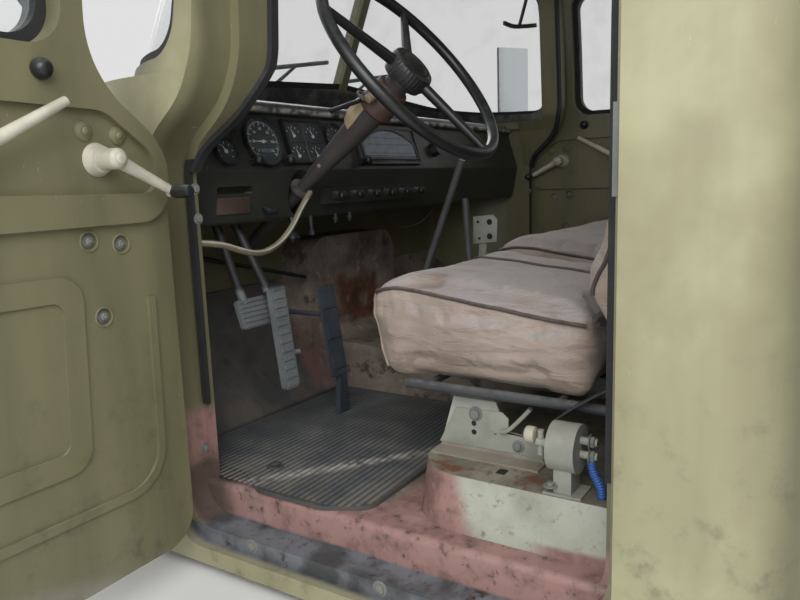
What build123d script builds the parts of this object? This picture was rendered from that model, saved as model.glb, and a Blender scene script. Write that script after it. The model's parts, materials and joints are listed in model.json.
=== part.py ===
from build123d import *
import math
import os

os.makedirs("parts", exist_ok=True)

# Frame: millimetres, +Z up, the cab faces -Y and the driver sits on the +X side.
# The origin is the middle of the four mounting holes, on the underside of the beams.

# Overall form
FLOOR_Z = 150.0
HALF_WIDTH = 904.0
ROOF_TUCK = 52.0
BODY_BOTTOM_Z = 20.0
BELT_Z = 910.0
ROOF_EDGE_Z = 1440.0
ROOF_RISE = 66.0
ROOF_EDGE_RADIUS = 56.0
COWL_FRONT_Y = -700.0
COWL_RADIUS = 330.0
REAR_Y = 710.0
REAR_TUCK = 26.0
REAR_RADIUS = 130.0
SCREEN_BASE_Y = -640.0
SCREEN_RAKE_DEG = 22.5
SCREEN_RADIUS = 420.0
COWL_TOP_WALL = 24.0

# Walls
SIDE_WALL = 100.0
SIDE_WALL_TOP = 72.0
FRONT_WALL = 30.0
SCREEN_WALL = 34.0
REAR_WALL = 36.0
ROOF_WALL = 28.0
SEAT_GAP = 0.3

# Doors
DOOR_THICKNESS = 76.0
DOOR_TOP_THICKNESS = 48.0
DOOR_SKIN = 20.0
DOOR_GAP = 6.0
DOOR_REAR_GAP = 10.0
DOOR_FRONT_Y = -345.0
DOOR_REAR_Y = 460.0
DOOR_BOTTOM_Z = 84.0
DOOR_TOP_Z = 1376.0
PILLAR_EDGE_Y = -206.0
DOGLEG_LOW_Z = 784.0
DOGLEG_HIGH_Z = 892.0
DOGLEG_LOW_RADIUS = 110.0
DOGLEG_HIGH_RADIUS = 160.0
DOOR_HEEL_RADIUS = 120.0
DOOR_CORNER_RADIUS = 60.0
SKIN_REAR_LAP = 14.0
SKIN_TOP_LAP = 12.0
SKIN_BOTTOM_LAP = 26.0
LIP_WIDTH = 14.0
LIP_BACK = 15.0
SEAL_CLEARANCE = 6.2
SEAL_FOOT_Z = 300.0
WINDOW_FRONT_Y = -170.0
WINDOW_REAR_Y = 404.0
WINDOW_BOTTOM_Z = 922.0
WINDOW_TOP_Z = 1344.0
WINDOW_RADIUS = 58.0
RUBBER_WIDTH = 16.0
GLASS = 6.0
HINGE_OUT = 9.0
HINGE_Y = -354.0
HINGE_RADIUS = 8.0
HINGE_HEIGHTS = (240.0, 720.0)
HINGE_LENGTH = 70.0
HINGE_PLAY = 0.6
DOOR_OPEN_DEG = 88.0

# Panel seams
ROOF_SEAM_Z = 1402.0
SIDE_SEAM_IN = 214.0
COWL_SEAM_Y = -420.0
SCREEN_SEAM_Y = -252.0
SCREEN_OPENING_REAR_Y = -264.0
SCREEN_SILL_MID_Z = 982.0
SCREEN_SILL_END_Z = 938.0
SCREEN_SILL_LOW_Z = 928.0
SCREEN_HEAD_Z = 1370.0
CENTRE_BAR = 30.0
THRESHOLD_IN = 82.0
THRESHOLD_WIDTH = 60.0

# Steering
WHEEL_X = 455.0
WHEEL_Y = -62.0
WHEEL_Z = 943.0
WHEEL_RADIUS = 240.0
RIM_RADIUS = 12.0
HUB_DROP = 14.0
HUB_RADIUS = 45.0
HUB_HEIGHT = 44.0
COLUMN_LEAN_DEG = 52.5
COLUMN_LENGTH = 640.0
JACKET_LENGTH = 330.0
JACKET_RADIUS = 34.0
COLUMN_RADIUS = 25.0

# Floor
FLOOR_THICKNESS = 30.0
MAT = 8.0
TUNNEL_HALF = 190.0
TUNNEL_HEIGHT = 130.0
TOE_Y = -500.0
TOE_HEIGHT = 300.0
PODIUM_Y = 88.0
PODIUM_X = 766.0
PODIUM_HEIGHT = 85.0
PODIUM_RADIUS = 110.0

# Seats
CUSHION_FOOT_Y = -6.0
CUSHION_FRONT_Y = -46.0
CUSHION_REAR_Y = 392.0
CUSHION_BOTTOM_Z = 366.0
CUSHION_TOP_Z = 552.0
CUSHION_REAR_TOP_Z = 506.0
CUSHION_RADII = (26.0, 44.0, 26.0, 26.0)
CUSHION_ROUNDING = 22.0
PASSENGER_RISE = 22.0
DRIVER_X = (200.0, 700.0)
PASSENGER_X = (-760.0, 170.0)
SEAT_TUBE_RADIUS = 9.0

SILL_PLANE_Z = FLOOR_Z - MAT
THRESHOLD_X = HALF_WIDTH - THRESHOLD_IN
SIDE_SEAM_X = HALF_WIDTH - SIDE_SEAM_IN
HINGE_X = HALF_WIDTH + HINGE_OUT
PANEL_X = HALF_WIDTH - DOOR_THICKNESS
CABIN_HALF = THRESHOLD_X - THRESHOLD_WIDTH
CABIN_FRONT_Y = COWL_FRONT_Y + FRONT_WALL
CABIN_REAR_Y = REAR_Y - REAR_WALL
SCREEN_LEAN = math.tan(math.radians(SCREEN_RAKE_DEG))
SCREEN_TOP_Y = SCREEN_BASE_Y + (ROOF_EDGE_Z - BELT_Z) * SCREEN_LEAN
FAR = 2 * HALF_WIDTH


def plan_outline(z, half_width, front_y, rear_y, front_radius, rear_radius):
    """Level section of the cab: straight sides with a large arc at each front corner, a small one behind."""
    with BuildSketch(Plane.XY.offset(z)) as outline:
        with Locations((0, (front_y + rear_y) / 2)):
            Rectangle(2 * half_width, rear_y - front_y)
        fillet(outline.vertices().group_by(Axis.Y)[0], front_radius)
        fillet(outline.vertices().group_by(Axis.Y)[-1], rear_radius)
    return outline.sketch


def cab_form(side, side_top, front, screen, rear, roof, bottom_z, cowl_top=0.0, edge_radius=0.0):
    """Solid form of the cab, each face moved in by its own inset: body, leaning window band and roof."""
    belt_z = BELT_Z - cowl_top
    base_half = HALF_WIDTH - side
    top_half = HALF_WIDTH - ROOF_TUCK - side_top
    screen_y = SCREEN_BASE_Y + screen - cowl_top * SCREEN_LEAN
    base_radius = SCREEN_RADIUS - screen
    corner = REAR_RADIUS - rear
    rear_y = REAR_Y - rear
    head_y = SCREEN_TOP_Y + screen
    body = plan_outline(bottom_z, base_half, COWL_FRONT_Y + front, rear_y, COWL_RADIUS - front, corner)
    belt = plan_outline(belt_z, base_half, screen_y, rear_y, base_radius, corner)
    head = plan_outline(ROOF_EDGE_Z, top_half, head_y, rear_y - REAR_TUCK, base_radius, corner)
    with BuildPart() as form:
        extrude(body, amount=belt_z - bottom_z)
        loft([belt, head], ruled=True)
        extrude(head, amount=ROOF_RISE - roof)
        if edge_radius > 0:
            fillet(form.faces().sort_by(Axis.Z)[-1].edges(), edge_radius)
    return form.part


def side_layer(first, last, first_top, last_top):
    """The layer of the cab's side between two insets, each with its own value at the roof edge."""
    near = cab_form(first, first_top, FRONT_WALL, SCREEN_WALL, REAR_WALL, ROOF_WALL, BODY_BOTTOM_Z)
    far = cab_form(last, last_top, FRONT_WALL, SCREEN_WALL, REAR_WALL, ROOF_WALL, BODY_BOTTOM_Z)
    return near - far


def block(x0, x1, y0, y1, z0, z1):
    """A plain box between two corners, used to part the panels at their seams."""
    centre = Pos((x0 + x1) / 2, (y0 + y1) / 2, (z0 + z1) / 2)
    return centre * Box(x1 - x0, y1 - y0, z1 - z0, mode=Mode.PRIVATE)


def side_cut(corners, radii, x0=0.0, x1=FAR):
    """An outline seen from the side, with corners (y, z) and their radii, pushed from x0 to x1."""
    with BuildSketch(Plane.YZ.offset(x0)) as outline:
        with BuildLine():
            FilletPolyline(*corners, radius=radii, close=True)
        make_face()
    return extrude(outline.sketch, amount=x1 - x0, mode=Mode.PRIVATE)


def front_cut(corners, radii, y0, y1):
    """An outline seen from the front, with corners (x, z) and their radii, pushed from y0 back to y1."""
    with BuildSketch(Plane.XZ.offset(-y1)) as outline:
        with BuildLine():
            FilletPolyline(*corners, radius=radii, close=True)
        make_face()
    return extrude(outline.sketch, amount=y1 - y0, mode=Mode.PRIVATE)


def plan_cut(corners, radii, z0, z1, taper=0.0):
    """An outline seen from above, with corners (x, y) and their radii, raised from z0 to z1."""
    with BuildSketch(Plane.XY.offset(z0)) as outline:
        with BuildLine():
            FilletPolyline(*corners, radius=radii, close=True)
        make_face()
    return extrude(outline.sketch, amount=z1 - z0, taper=taper, mode=Mode.PRIVATE)


def rod(start, end, radius, end_radius=None):
    """A round bar between two points, straight or tapering."""
    run = Vector(*end) - Vector(*start)
    seat = Plane(origin=start, z_dir=run.normalized())
    if end_radius is None:
        return seat.location * Cylinder(
            radius, run.length, align=(Align.CENTER, Align.CENTER, Align.MIN), mode=Mode.PRIVATE
        )
    return seat.location * Cone(
        radius, end_radius, run.length, align=(Align.CENTER, Align.CENTER, Align.MIN), mode=Mode.PRIVATE
    )


def rounded_rod(start, end, radius, rounding):
    """A round bar between two points with its far end rounded."""
    run = Vector(*end) - Vector(*start)
    with BuildPart(Plane(origin=start, z_dir=run.normalized())) as bar:
        Cylinder(radius, run.length, align=(Align.CENTER, Align.CENTER, Align.MIN))
        fillet(bar.edges().filter_by(GeomType.CIRCLE).sort_by(Axis(start, run))[-1], rounding)
    return bar.part


# Share of the shorter run that each arc of a bent tube may take
ARC_SHARE = 0.45


def bent_tube(points, radius):
    """A tube along straight runs joined by arcs as large as the runs allow; prints the arcs' radii."""
    path_points = [Vector(*p) for p in points]
    radii = []
    for before, here, after in zip(path_points, path_points[1:], path_points[2:]):
        turn = math.radians((here - before).get_angle(after - here))
        run = min((here - before).length, (after - here).length)
        radii.append(ARC_SHARE * run / math.tan(turn / 2))
    print("arc radii", [round(r) for r in radii], "at tube diameter", 2 * radius)
    with BuildPart() as tube:
        with BuildLine() as path:
            FilletPolyline(*points, radius=radii)
        with BuildSketch(Plane(origin=path.line @ 0, z_dir=path.line % 0)):
            Circle(radius)
        sweep()
    return tube.part


def door_prism(front_grow, rear_grow, top_grow, bottom_grow):
    """The door's outline with its dog-leg, moved out by its own amount at each edge, as a prism."""
    front = DOOR_FRONT_Y - front_grow
    pillar = PILLAR_EDGE_Y - front_grow
    rear = DOOR_REAR_Y + rear_grow
    bottom = DOOR_BOTTOM_Z - bottom_grow
    top = DOOR_TOP_Z + top_grow
    corners = (
        (front, bottom),
        (front, DOGLEG_LOW_Z + front_grow / 2),
        (pillar, DOGLEG_HIGH_Z + front_grow / 2),
        (pillar, top),
        (rear, top),
        (rear, bottom),
    )
    radii = (
        DOOR_CORNER_RADIUS + front_grow,
        DOGLEG_LOW_RADIUS + front_grow,
        DOGLEG_HIGH_RADIUS - front_grow,
        DOOR_CORNER_RADIUS + front_grow,
        DOOR_CORNER_RADIUS + rear_grow,
        DOOR_HEEL_RADIUS + rear_grow,
    )
    return side_cut(corners, radii)


def window_prism(inset):
    """The door window's outline, moved in by an inset."""
    front = WINDOW_FRONT_Y + inset
    rear = WINDOW_REAR_Y - inset
    bottom = WINDOW_BOTTOM_Z + inset
    top = WINDOW_TOP_Z - inset
    return side_cut(((front, bottom), (front, top), (rear, top), (rear, bottom)), WINDOW_RADIUS - inset / 2)


def layer_back(side, side_top, rear=REAR_WALL):
    """The cab's form with its sides moved in, to part a layer of the side from what lies behind it."""
    return cab_form(side, side_top, FRONT_WALL, SCREEN_WALL, rear, ROOF_WALL, BODY_BOTTOM_Z - 1)


outer = cab_form(0, 0, 0, 0, 0, 0, BODY_BOTTOM_Z, 0, ROOF_EDGE_RADIUS)
inner = cab_form(
    SIDE_WALL,
    SIDE_WALL_TOP,
    FRONT_WALL,
    SCREEN_WALL,
    REAR_WALL,
    ROOF_WALL,
    BODY_BOTTOM_Z - 1,
    COWL_TOP_WALL,
    ROOF_EDGE_RADIUS - ROOF_WALL,
)
shell = outer - inner
rabbet_inset = DOOR_SKIN + DOOR_GAP
skin_back = layer_back(DOOR_SKIN, DOOR_SKIN, DOOR_SKIN)
rabbet_back = layer_back(rabbet_inset, rabbet_inset, DOOR_SKIN)
door_back = layer_back(DOOR_THICKNESS, DOOR_TOP_THICKNESS)
lip_back = layer_back(DOOR_THICKNESS + LIP_BACK, DOOR_TOP_THICKNESS + LIP_BACK)

# Roof panel with a drip rail over each door
RAIL_OUT = 12.0
RAIL_HEIGHT = 14.0
RAIL_FRONT_Y = -250.0
RAIL_REAR_Y = 540.0
RAIL_Z = ROOF_SEAM_Z + 6
RAIL_SHEET = 4.0
rail_form = cab_form(-RAIL_OUT, -RAIL_OUT, 0, -RAIL_OUT, 0, 0, BODY_BOTTOM_Z)
groove_out = RAIL_OUT - RAIL_SHEET
groove_form = cab_form(-groove_out, -groove_out, 0, -groove_out, 0, 0, BODY_BOTTOM_Z)
rail = rail_form & block(-FAR, FAR, RAIL_FRONT_Y, RAIL_REAR_Y, RAIL_Z, RAIL_Z + RAIL_HEIGHT)
groove = groove_form & block(-FAR, FAR, -FAR, FAR, RAIL_Z + RAIL_SHEET, RAIL_Z + 2 * RAIL_HEIGHT)
with BuildPart() as roof:
    add(shell)
    add(block(-FAR, FAR, -FAR, FAR, ROOF_SEAM_Z, ROOF_EDGE_Z + 2 * ROOF_RISE), mode=Mode.INTERSECT)
    add(rail - groove - outer)
roof.part.label = "roof"

# Rear wall with its window and pressed ribs
REAR_WINDOW_WIDTH = 900.0
REAR_WINDOW_HEIGHT = 340.0
REAR_WINDOW_Z = 1170.0
REAR_WINDOW_RADIUS = 50.0
REAR_RIB_HEIGHTS = (260.0, 440.0, 620.0, 800.0)
REAR_RIB_WIDTH = 60.0
REAR_RIB_DEPTH = 8.0


def rear_window(inset):
    """The rear window's outline, moved in by an inset, pushed through the rear wall."""
    half = REAR_WINDOW_WIDTH / 2 - inset
    low = REAR_WINDOW_Z - REAR_WINDOW_HEIGHT / 2 + inset
    high = REAR_WINDOW_Z + REAR_WINDOW_HEIGHT / 2 - inset
    corners = ((-half, low), (half, low), (half, high), (-half, high))
    return front_cut(corners, REAR_WINDOW_RADIUS - inset / 2, REAR_Y - 300, REAR_Y + 50)


rear_opening = rear_window(0)
panel_front_y = REAR_Y - 3 * REAR_RADIUS
rear_panel_region = block(-SIDE_SEAM_X, SIDE_SEAM_X, panel_front_y, FAR, BODY_BOTTOM_Z, ROOF_SEAM_Z)
with BuildPart() as rear_wall:
    add(shell)
    add(rear_panel_region, mode=Mode.INTERSECT)
    add(rear_opening, mode=Mode.SUBTRACT)
    for height in REAR_RIB_HEIGHTS:
        with BuildSketch(Plane.XZ.offset(-REAR_Y)):
            with Locations((0, height)):
                SlotOverall(2 * SIDE_SEAM_X - 3 * REAR_RIB_WIDTH, REAR_RIB_WIDTH)
        extrude(amount=REAR_RIB_DEPTH, mode=Mode.SUBTRACT)
rear_wall.part.label = "rear_wall"

# Firewall and cowl: pressed bulkhead and the steering column's hole
BULKHEAD_HALF = 330.0
BULKHEAD_LOW_Z = 90.0
BULKHEAD_HIGH_Z = 700.0
BULKHEAD_DEPTH = 10.0
BULKHEAD_RADIUS = 60.0
COLUMN_PLAY = 1.0
lean = math.radians(COLUMN_LEAN_DEG)
axis_dir = (0, math.sin(lean), math.cos(lean))
wheel_plane = Plane(origin=(WHEEL_X, WHEEL_Y, WHEEL_Z), x_dir=(-1, 0, 0), z_dir=axis_dir)
column_plane = wheel_plane.offset(-HUB_DROP - HUB_HEIGHT / 2 - COLUMN_PLAY)


def column_rod(radius, start, end):
    """A round bar on the steering axis, between two distances below the hub."""
    return column_plane.offset(-start).location * Cylinder(
        radius, end - start, align=(Align.CENTER, Align.CENTER, Align.MAX), mode=Mode.PRIVATE
    )


with BuildPart() as firewall:
    add(shell)
    add(block(-FAR, FAR, -FAR, COWL_SEAM_Y, BODY_BOTTOM_Z, BELT_Z), mode=Mode.INTERSECT)
    with BuildSketch(Plane.XZ.offset(-COWL_FRONT_Y)) as bulkhead:
        with Locations((0, (BULKHEAD_LOW_Z + BULKHEAD_HIGH_Z) / 2)):
            RectangleRounded(2 * BULKHEAD_HALF, BULKHEAD_HIGH_Z - BULKHEAD_LOW_Z, BULKHEAD_RADIUS)
    extrude(amount=-BULKHEAD_DEPTH, mode=Mode.SUBTRACT)
    add(column_rod(COLUMN_RADIUS + COLUMN_PLAY, 0, 1.1 * COLUMN_LENGTH), mode=Mode.SUBTRACT)
firewall.part.label = "firewall"


def screen_prism(inset):
    """The windscreen opening: its outline from the side, less what lies below the crowned lower edge."""
    with BuildSketch(Plane.YZ.offset(-FAR)) as side:
        with BuildLine():
            Polyline(
                (-FAR, SCREEN_SILL_END_Z + inset),
                (SCREEN_OPENING_REAR_Y - inset, SCREEN_SILL_END_Z + inset),
                (SCREEN_OPENING_REAR_Y - inset, SCREEN_HEAD_Z - inset),
                (-FAR, SCREEN_HEAD_Z - inset),
                close=True,
            )
        make_face()
        fillet(side.vertices().group_by(Axis.X)[-1], WINDOW_RADIUS - inset / 2)
    with BuildSketch(Plane.XZ.offset(-FAR)) as front:
        with BuildLine():
            Polyline(
                (-HALF_WIDTH, SCREEN_SILL_LOW_Z + inset),
                (0, SCREEN_SILL_MID_Z + inset),
                (HALF_WIDTH, SCREEN_SILL_LOW_Z + inset),
                (HALF_WIDTH, SCREEN_HEAD_Z - inset),
                (-HALF_WIDTH, SCREEN_HEAD_Z - inset),
                close=True,
            )
        make_face()
    across = extrude(side.sketch, amount=2 * FAR, mode=Mode.PRIVATE)
    along = extrude(front.sketch, amount=2 * FAR, mode=Mode.PRIVATE)
    return across & along


# Windscreen frame, open for its two panes, with the upright bar between them
screen_opening = screen_prism(0) - block(-CENTRE_BAR / 2, CENTRE_BAR / 2, -FAR, FAR, 0, FAR)
with BuildPart() as windscreen_frame:
    add(shell)
    add(block(-FAR, FAR, -FAR, SCREEN_SEAM_Y, BELT_Z, ROOF_SEAM_Z), mode=Mode.INTERSECT)
    add(screen_opening, mode=Mode.SUBTRACT)
windscreen_frame.part.label = "windscreen_frame"


def glass_layer(first, last):
    """The thin layer of the window band between two insets from the outer surface."""
    return cab_form(first, first, FRONT_WALL, first, first, ROOF_WALL, BODY_BOTTOM_Z) - cab_form(
        last, last, FRONT_WALL, last, last, ROOF_WALL, BODY_BOTTOM_Z
    )


GLASS_INSET = 14.0
RUBBER_OUT = 5.0
RUBBER_IN = 27.0
glass_band = glass_layer(GLASS_INSET, GLASS_INSET + GLASS)
rubber_band = glass_layer(RUBBER_OUT, RUBBER_IN)
pane_region = block(SEAT_GAP + CENTRE_BAR / 2, FAR, -FAR, 0, BELT_Z, ROOF_SEAM_Z)
rubber_ring = screen_prism(SEAT_GAP) - screen_prism(RUBBER_WIDTH)

with BuildPart() as windscreen_seal:
    add(rubber_band & (rubber_ring & pane_region))
    mirror(about=Plane.YZ)
windscreen_seal.part.label = "windscreen_seal"

pane_left = glass_band & (screen_prism(RUBBER_WIDTH + SEAT_GAP) & pane_region)
with BuildPart() as windscreen_left:
    add(pane_left)
windscreen_left.part.label = "windscreen_left"

with BuildPart() as windscreen_right:
    add(pane_left.mirror(Plane.YZ))
windscreen_right.part.label = "windscreen_right"

rear_region = block(-SIDE_SEAM_X, SIDE_SEAM_X, REAR_Y - 200, FAR, BELT_Z, ROOF_SEAM_Z)
with BuildPart() as rear_glass:
    add(glass_band & (rear_window(RUBBER_WIDTH) & rear_region))
rear_glass.part.label = "rear_glass"

with BuildPart() as rear_glass_seal:
    add(rubber_band & ((rear_window(SEAT_GAP) - rear_window(RUBBER_WIDTH - SEAT_GAP)) & rear_region))
rear_glass_seal.part.label = "rear_glass_seal"

# Side frames: pillars, rear corner, top rail, sill and the lip that carries the door's rubber
SILL_RADIUS = 12.0
PILLAR_FOOT_Z = 745.0
# Depth of the windscreen pillar's casing inside the body's side, at each height
PILLAR_DEPTHS = ((PILLAR_FOOT_Z, 98.0), (876.0, 142.0), (925.0, 169.0), (1044.0, 178.0), (ROOF_SEAM_Z, 207.0))
PILLAR_RADII = (6.0, 40.0, 40.0, 120.0, 0.0)
casing_edge = [(HALF_WIDTH - depth, height) for height, depth in PILLAR_DEPTHS]
pillar_profile = casing_edge + [(HALF_WIDTH, ROOF_SEAM_Z), (HALF_WIDTH, PILLAR_FOOT_Z)]
casing_front = front_cut(pillar_profile, (*PILLAR_RADII, 0, 0), COWL_SEAM_Y, 0)
casing_side = side_cut(
    (
        (DOOR_FRONT_Y - DOOR_GAP, PILLAR_FOOT_Z),
        (DOOR_FRONT_Y - DOOR_GAP, BELT_Z),
        (SCREEN_SEAM_Y, BELT_Z),
        (SCREEN_SEAM_Y, ROOF_SEAM_Z),
        (0, ROOF_SEAM_Z),
        (0, PILLAR_FOOT_Z),
    ),
    0,
)
lip_hole = door_prism(-LIP_WIDTH, -LIP_WIDTH, -LIP_WIDTH, DOOR_GAP)
door_recess = (outer - lip_back) & door_prism(DOOR_GAP, DOOR_REAR_GAP, DOOR_GAP, DOOR_GAP)
skin_recess = (outer - rabbet_back) & door_prism(
    DOOR_GAP, SKIN_REAR_LAP + DOOR_GAP, DOOR_GAP + SKIN_TOP_LAP, SKIN_BOTTOM_LAP + DOOR_GAP
)
sill = front_cut(
    (
        (THRESHOLD_X - THRESHOLD_WIDTH, BODY_BOTTOM_Z),
        (THRESHOLD_X, BODY_BOTTOM_Z),
        (THRESHOLD_X, SILL_PLANE_Z),
        (THRESHOLD_X - THRESHOLD_WIDTH, SILL_PLANE_Z),
    ),
    (0, 0, SILL_RADIUS, 0),
    COWL_SEAM_Y,
    REAR_Y - REAR_RADIUS,
)
frame_region = block(SIDE_SEAM_X, FAR, COWL_SEAM_Y, FAR, BODY_BOTTOM_Z, BELT_Z) + block(
    SIDE_SEAM_X, FAR, SCREEN_SEAM_Y, FAR, BELT_Z, ROOF_SEAM_Z
)
with BuildPart() as side_frame_left:
    add(shell)
    add(frame_region, mode=Mode.INTERSECT)
    add(casing_front & casing_side & outer)
    add(lip_hole, mode=Mode.SUBTRACT)
    add(door_recess, mode=Mode.SUBTRACT)
    add(skin_recess, mode=Mode.SUBTRACT)
    add(sill)
side_frame_left.part.label = "side_frame_left"

with BuildPart() as side_frame_right:
    add(side_frame_left.part.mirror(Plane.YZ))
side_frame_right.part.label = "side_frame_right"

# Rubber round each door opening: on the lip at the top, behind and low down in front, and along the
# casing's inner edge up the windscreen pillar; it ends above the sill
BEAD_HALF = 9.0
BEAD_THICKNESS = 11.0
BEAD_JOIN = 1.0
BEAD_FOOT_Z = 768.0
BEAD_HEAD_Z = 1330.0
seal_layer = side_layer(
    DOOR_THICKNESS + SEAL_CLEARANCE,
    DOOR_THICKNESS + LIP_BACK - SEAT_GAP,
    DOOR_TOP_THICKNESS + SEAL_CLEARANCE,
    DOOR_TOP_THICKNESS + LIP_BACK - SEAT_GAP,
)

def edge_ring(outer_inset, inner_inset):
    """The band along the door opening's edge between two insets, open at the foot."""
    return door_prism(-outer_inset, -outer_inset, -outer_inset, DOOR_GAP) - door_prism(
        -inner_inset, -inner_inset, -inner_inset, DOOR_GAP
    )


seal_ring = edge_ring(BEAD_JOIN, LIP_WIDTH + BEAD_JOIN)
bead_ring = edge_ring(LIP_WIDTH + SEAT_GAP, LIP_WIDTH + BEAD_THICKNESS)
front_region = block(0, FAR, -FAR, WINDOW_FRONT_Y, BEAD_FOOT_Z, BEAD_HEAD_Z)
seal_region = block(SIDE_SEAM_X, FAR, -FAR, FAR, SEAL_FOOT_Z, ROOF_SEAM_Z) - front_region
bead_foot = (HALF_WIDTH - DOOR_THICKNESS - LIP_BACK, PILLAR_FOOT_Z)
bead_edge = [bead_foot] + casing_edge[1:-1] + [(casing_edge[-1][0], BEAD_HEAD_Z)]
bead_profile = [(x - BEAD_HALF, z) for x, z in bead_edge]
bead_profile += [(x + BEAD_HALF, z) for x, z in reversed(bead_edge)]
bead_radii = (0, *PILLAR_RADII[1:], *reversed(PILLAR_RADII[1:]), 0)
bead_front = front_cut(bead_profile, bead_radii, COWL_SEAM_Y, WINDOW_FRONT_Y)
head_region = block(casing_edge[-1][0], PANEL_X, -FAR, WINDOW_FRONT_Y, BEAD_HEAD_Z, ROOF_SEAM_Z)
inside_door = layer_back(DOOR_THICKNESS + SEAL_CLEARANCE, DOOR_TOP_THICKNESS + SEAL_CLEARANCE)
with BuildPart() as opening_seal_left:
    add(seal_layer & (seal_ring & seal_region))
    add(bead_front & bead_ring)
    add((bead_ring & head_region) & inside_door)
opening_seal_left.part.label = "opening_seal_left"

with BuildPart() as opening_seal_right:
    add(opening_seal_left.part.mirror(Plane.YZ))
opening_seal_right.part.label = "opening_seal_right"

# Door leaf, built closed on the +X side: inner panel with its rolled band, D-shaped recess, hatch and rib
BAND_DEPTH = 12.0
BAND_LOW_Z = 664.0
BAND_RADIUS = 60.0
HATCH_DEPTH = 5.0
HATCH_FRAME = ((-150.0, 290.0), (-166.0, 592.0), (395.0, 604.0), (395.0, 296.0))
HATCH_PANEL = ((-116.0, 326.0), (-130.0, 556.0), (360.0, 566.0), (360.0, 332.0))
RIB_PATH = ((-292.0, 540.0), (-284.0, 215.0), (420.0, 228.0))
RIB_RADIUS = 70.0
RIB_WIDTH = 14.0
CRANK_RECESS = ((-318.0, 710.0), (-318.0, 772.0), (-228.0, 838.0), (395.0, 850.0), (395.0, 722.0))
CRANK_RECESS_RADII = (26.0, 50.0, 60.0, 60.0, 50.0)
DIMPLES = ((-187.0, 641.0), (-245.0, 632.0), (-200.0, 521.0))
DIMPLE_RADIUS = 13.0

panel_layer = block(PANEL_X - 1, PANEL_X + BAND_DEPTH, -FAR, FAR, 0, BELT_Z)
upper_form = side_cut(
    ((DOOR_FRONT_Y + 3, BAND_LOW_Z), (DOOR_FRONT_Y + 3, DOOR_TOP_Z), (FAR, DOOR_TOP_Z), (FAR, BAND_LOW_Z)),
    (BAND_RADIUS, 0, 0, 0),
)
hatch_layer = block(PANEL_X + BAND_DEPTH - HATCH_DEPTH, PANEL_X + BAND_DEPTH, -FAR, FAR, 0, BELT_Z)
hatch_ring = side_cut(HATCH_FRAME, 40) - side_cut(HATCH_PANEL, 18)
with BuildSketch(Plane.YZ) as rib_sketch:
    with BuildLine() as rib_line:
        FilletPolyline(*RIB_PATH, radius=RIB_RADIUS)
    trace(line_width=RIB_WIDTH)
rib = extrude(rib_sketch.sketch, amount=FAR, mode=Mode.PRIVATE)

with BuildPart() as door_leaf:
    add(outer - door_back)
    add(door_prism(0, 0, 0, 0), mode=Mode.INTERSECT)
    add((outer - skin_back) & door_prism(0, SKIN_REAR_LAP, SKIN_TOP_LAP, SKIN_BOTTOM_LAP))
    add(window_prism(0), mode=Mode.SUBTRACT)
    add(panel_layer - upper_form, mode=Mode.SUBTRACT)
    add(panel_layer & side_cut(CRANK_RECESS, CRANK_RECESS_RADII), mode=Mode.SUBTRACT)
    add(hatch_layer & (hatch_ring + rib))
    for y, z in DIMPLES:
        with Locations(Plane(origin=(PANEL_X + BAND_DEPTH, y, z), z_dir=(-1, 0, 0)).location):
            Cylinder(DIMPLE_RADIUS, 2 * HATCH_DEPTH, mode=Mode.SUBTRACT)

door_rubber_closed = glass_layer(8, 40) & (window_prism(SEAT_GAP) - window_prism(RUBBER_WIDTH))
door_glass_closed = glass_layer(20, 20 + GLASS) & window_prism(RUBBER_WIDTH + SEAT_GAP)

hinge_axis = Axis((HINGE_X, HINGE_Y, 0), (0, 0, 1))
STRAP_LENGTH = 60.0
STRAP = 4.0


def hinge_half(z, forward):
    """One knuckle of a door hinge with its strap along the skin, behind the pin or in front of it."""
    y0 = HINGE_Y - STRAP_LENGTH if forward else HINGE_Y
    reach = HINGE_LENGTH / 4 - HINGE_PLAY / 2
    with BuildPart() as half:
        with Locations((HINGE_X, HINGE_Y, z)):
            Cylinder(HINGE_RADIUS, 2 * reach)
        add(block(HALF_WIDTH, HALF_WIDTH + STRAP, y0, y0 + STRAP_LENGTH, z - reach, z + reach))
    return half.part


frame_halves = [hinge_half(height, True) for height in HINGE_HEIGHTS]
with BuildPart() as hinges_left:
    for half in frame_halves:
        add(half)
hinges_left.part.label = "hinges_left"

with BuildPart() as hinges_right:
    add(hinges_left.part.mirror(Plane.YZ))
hinges_right.part.label = "hinges_right"

door_closed = door_leaf.part
for height in HINGE_HEIGHTS:
    door_closed = door_closed + hinge_half(height + HINGE_LENGTH / 2, False)

# Door furniture, built closed: window crank, inside lever, lock knob and outside handle
CRANK = (-216.0, 764.0)
CRANK_END = (-318.0, 712.0)
LEVER = (48.0, 741.0)
LEVER_END = (-141.0, 843.0)
LOCK = (-128.0, 888.0)
CRANK_REACH = 40.0
KNOB_LENGTH = 34.0


def panel_point(place, height):
    """A point in front of the door's inner panel, from its (y, z) and its height over the panel."""
    return (PANEL_X - height, place[0], place[1])


# Tapering pieces: foot place, height of the foot, end place, height of the end, foot radius, end radius
TAPERED = (
    (CRANK, SEAT_GAP - BAND_DEPTH, CRANK, 4.0, 26.0, 20.0),
    (CRANK, CRANK_REACH - 12, CRANK_END, CRANK_REACH - 4, 11.0, 7.0),
    (LEVER, SEAT_GAP - BAND_DEPTH, LEVER, 30.0, 17.0, 12.0),
    (LEVER, 24.0, LEVER_END, 34.0, 12.0, 7.0),
)
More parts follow.
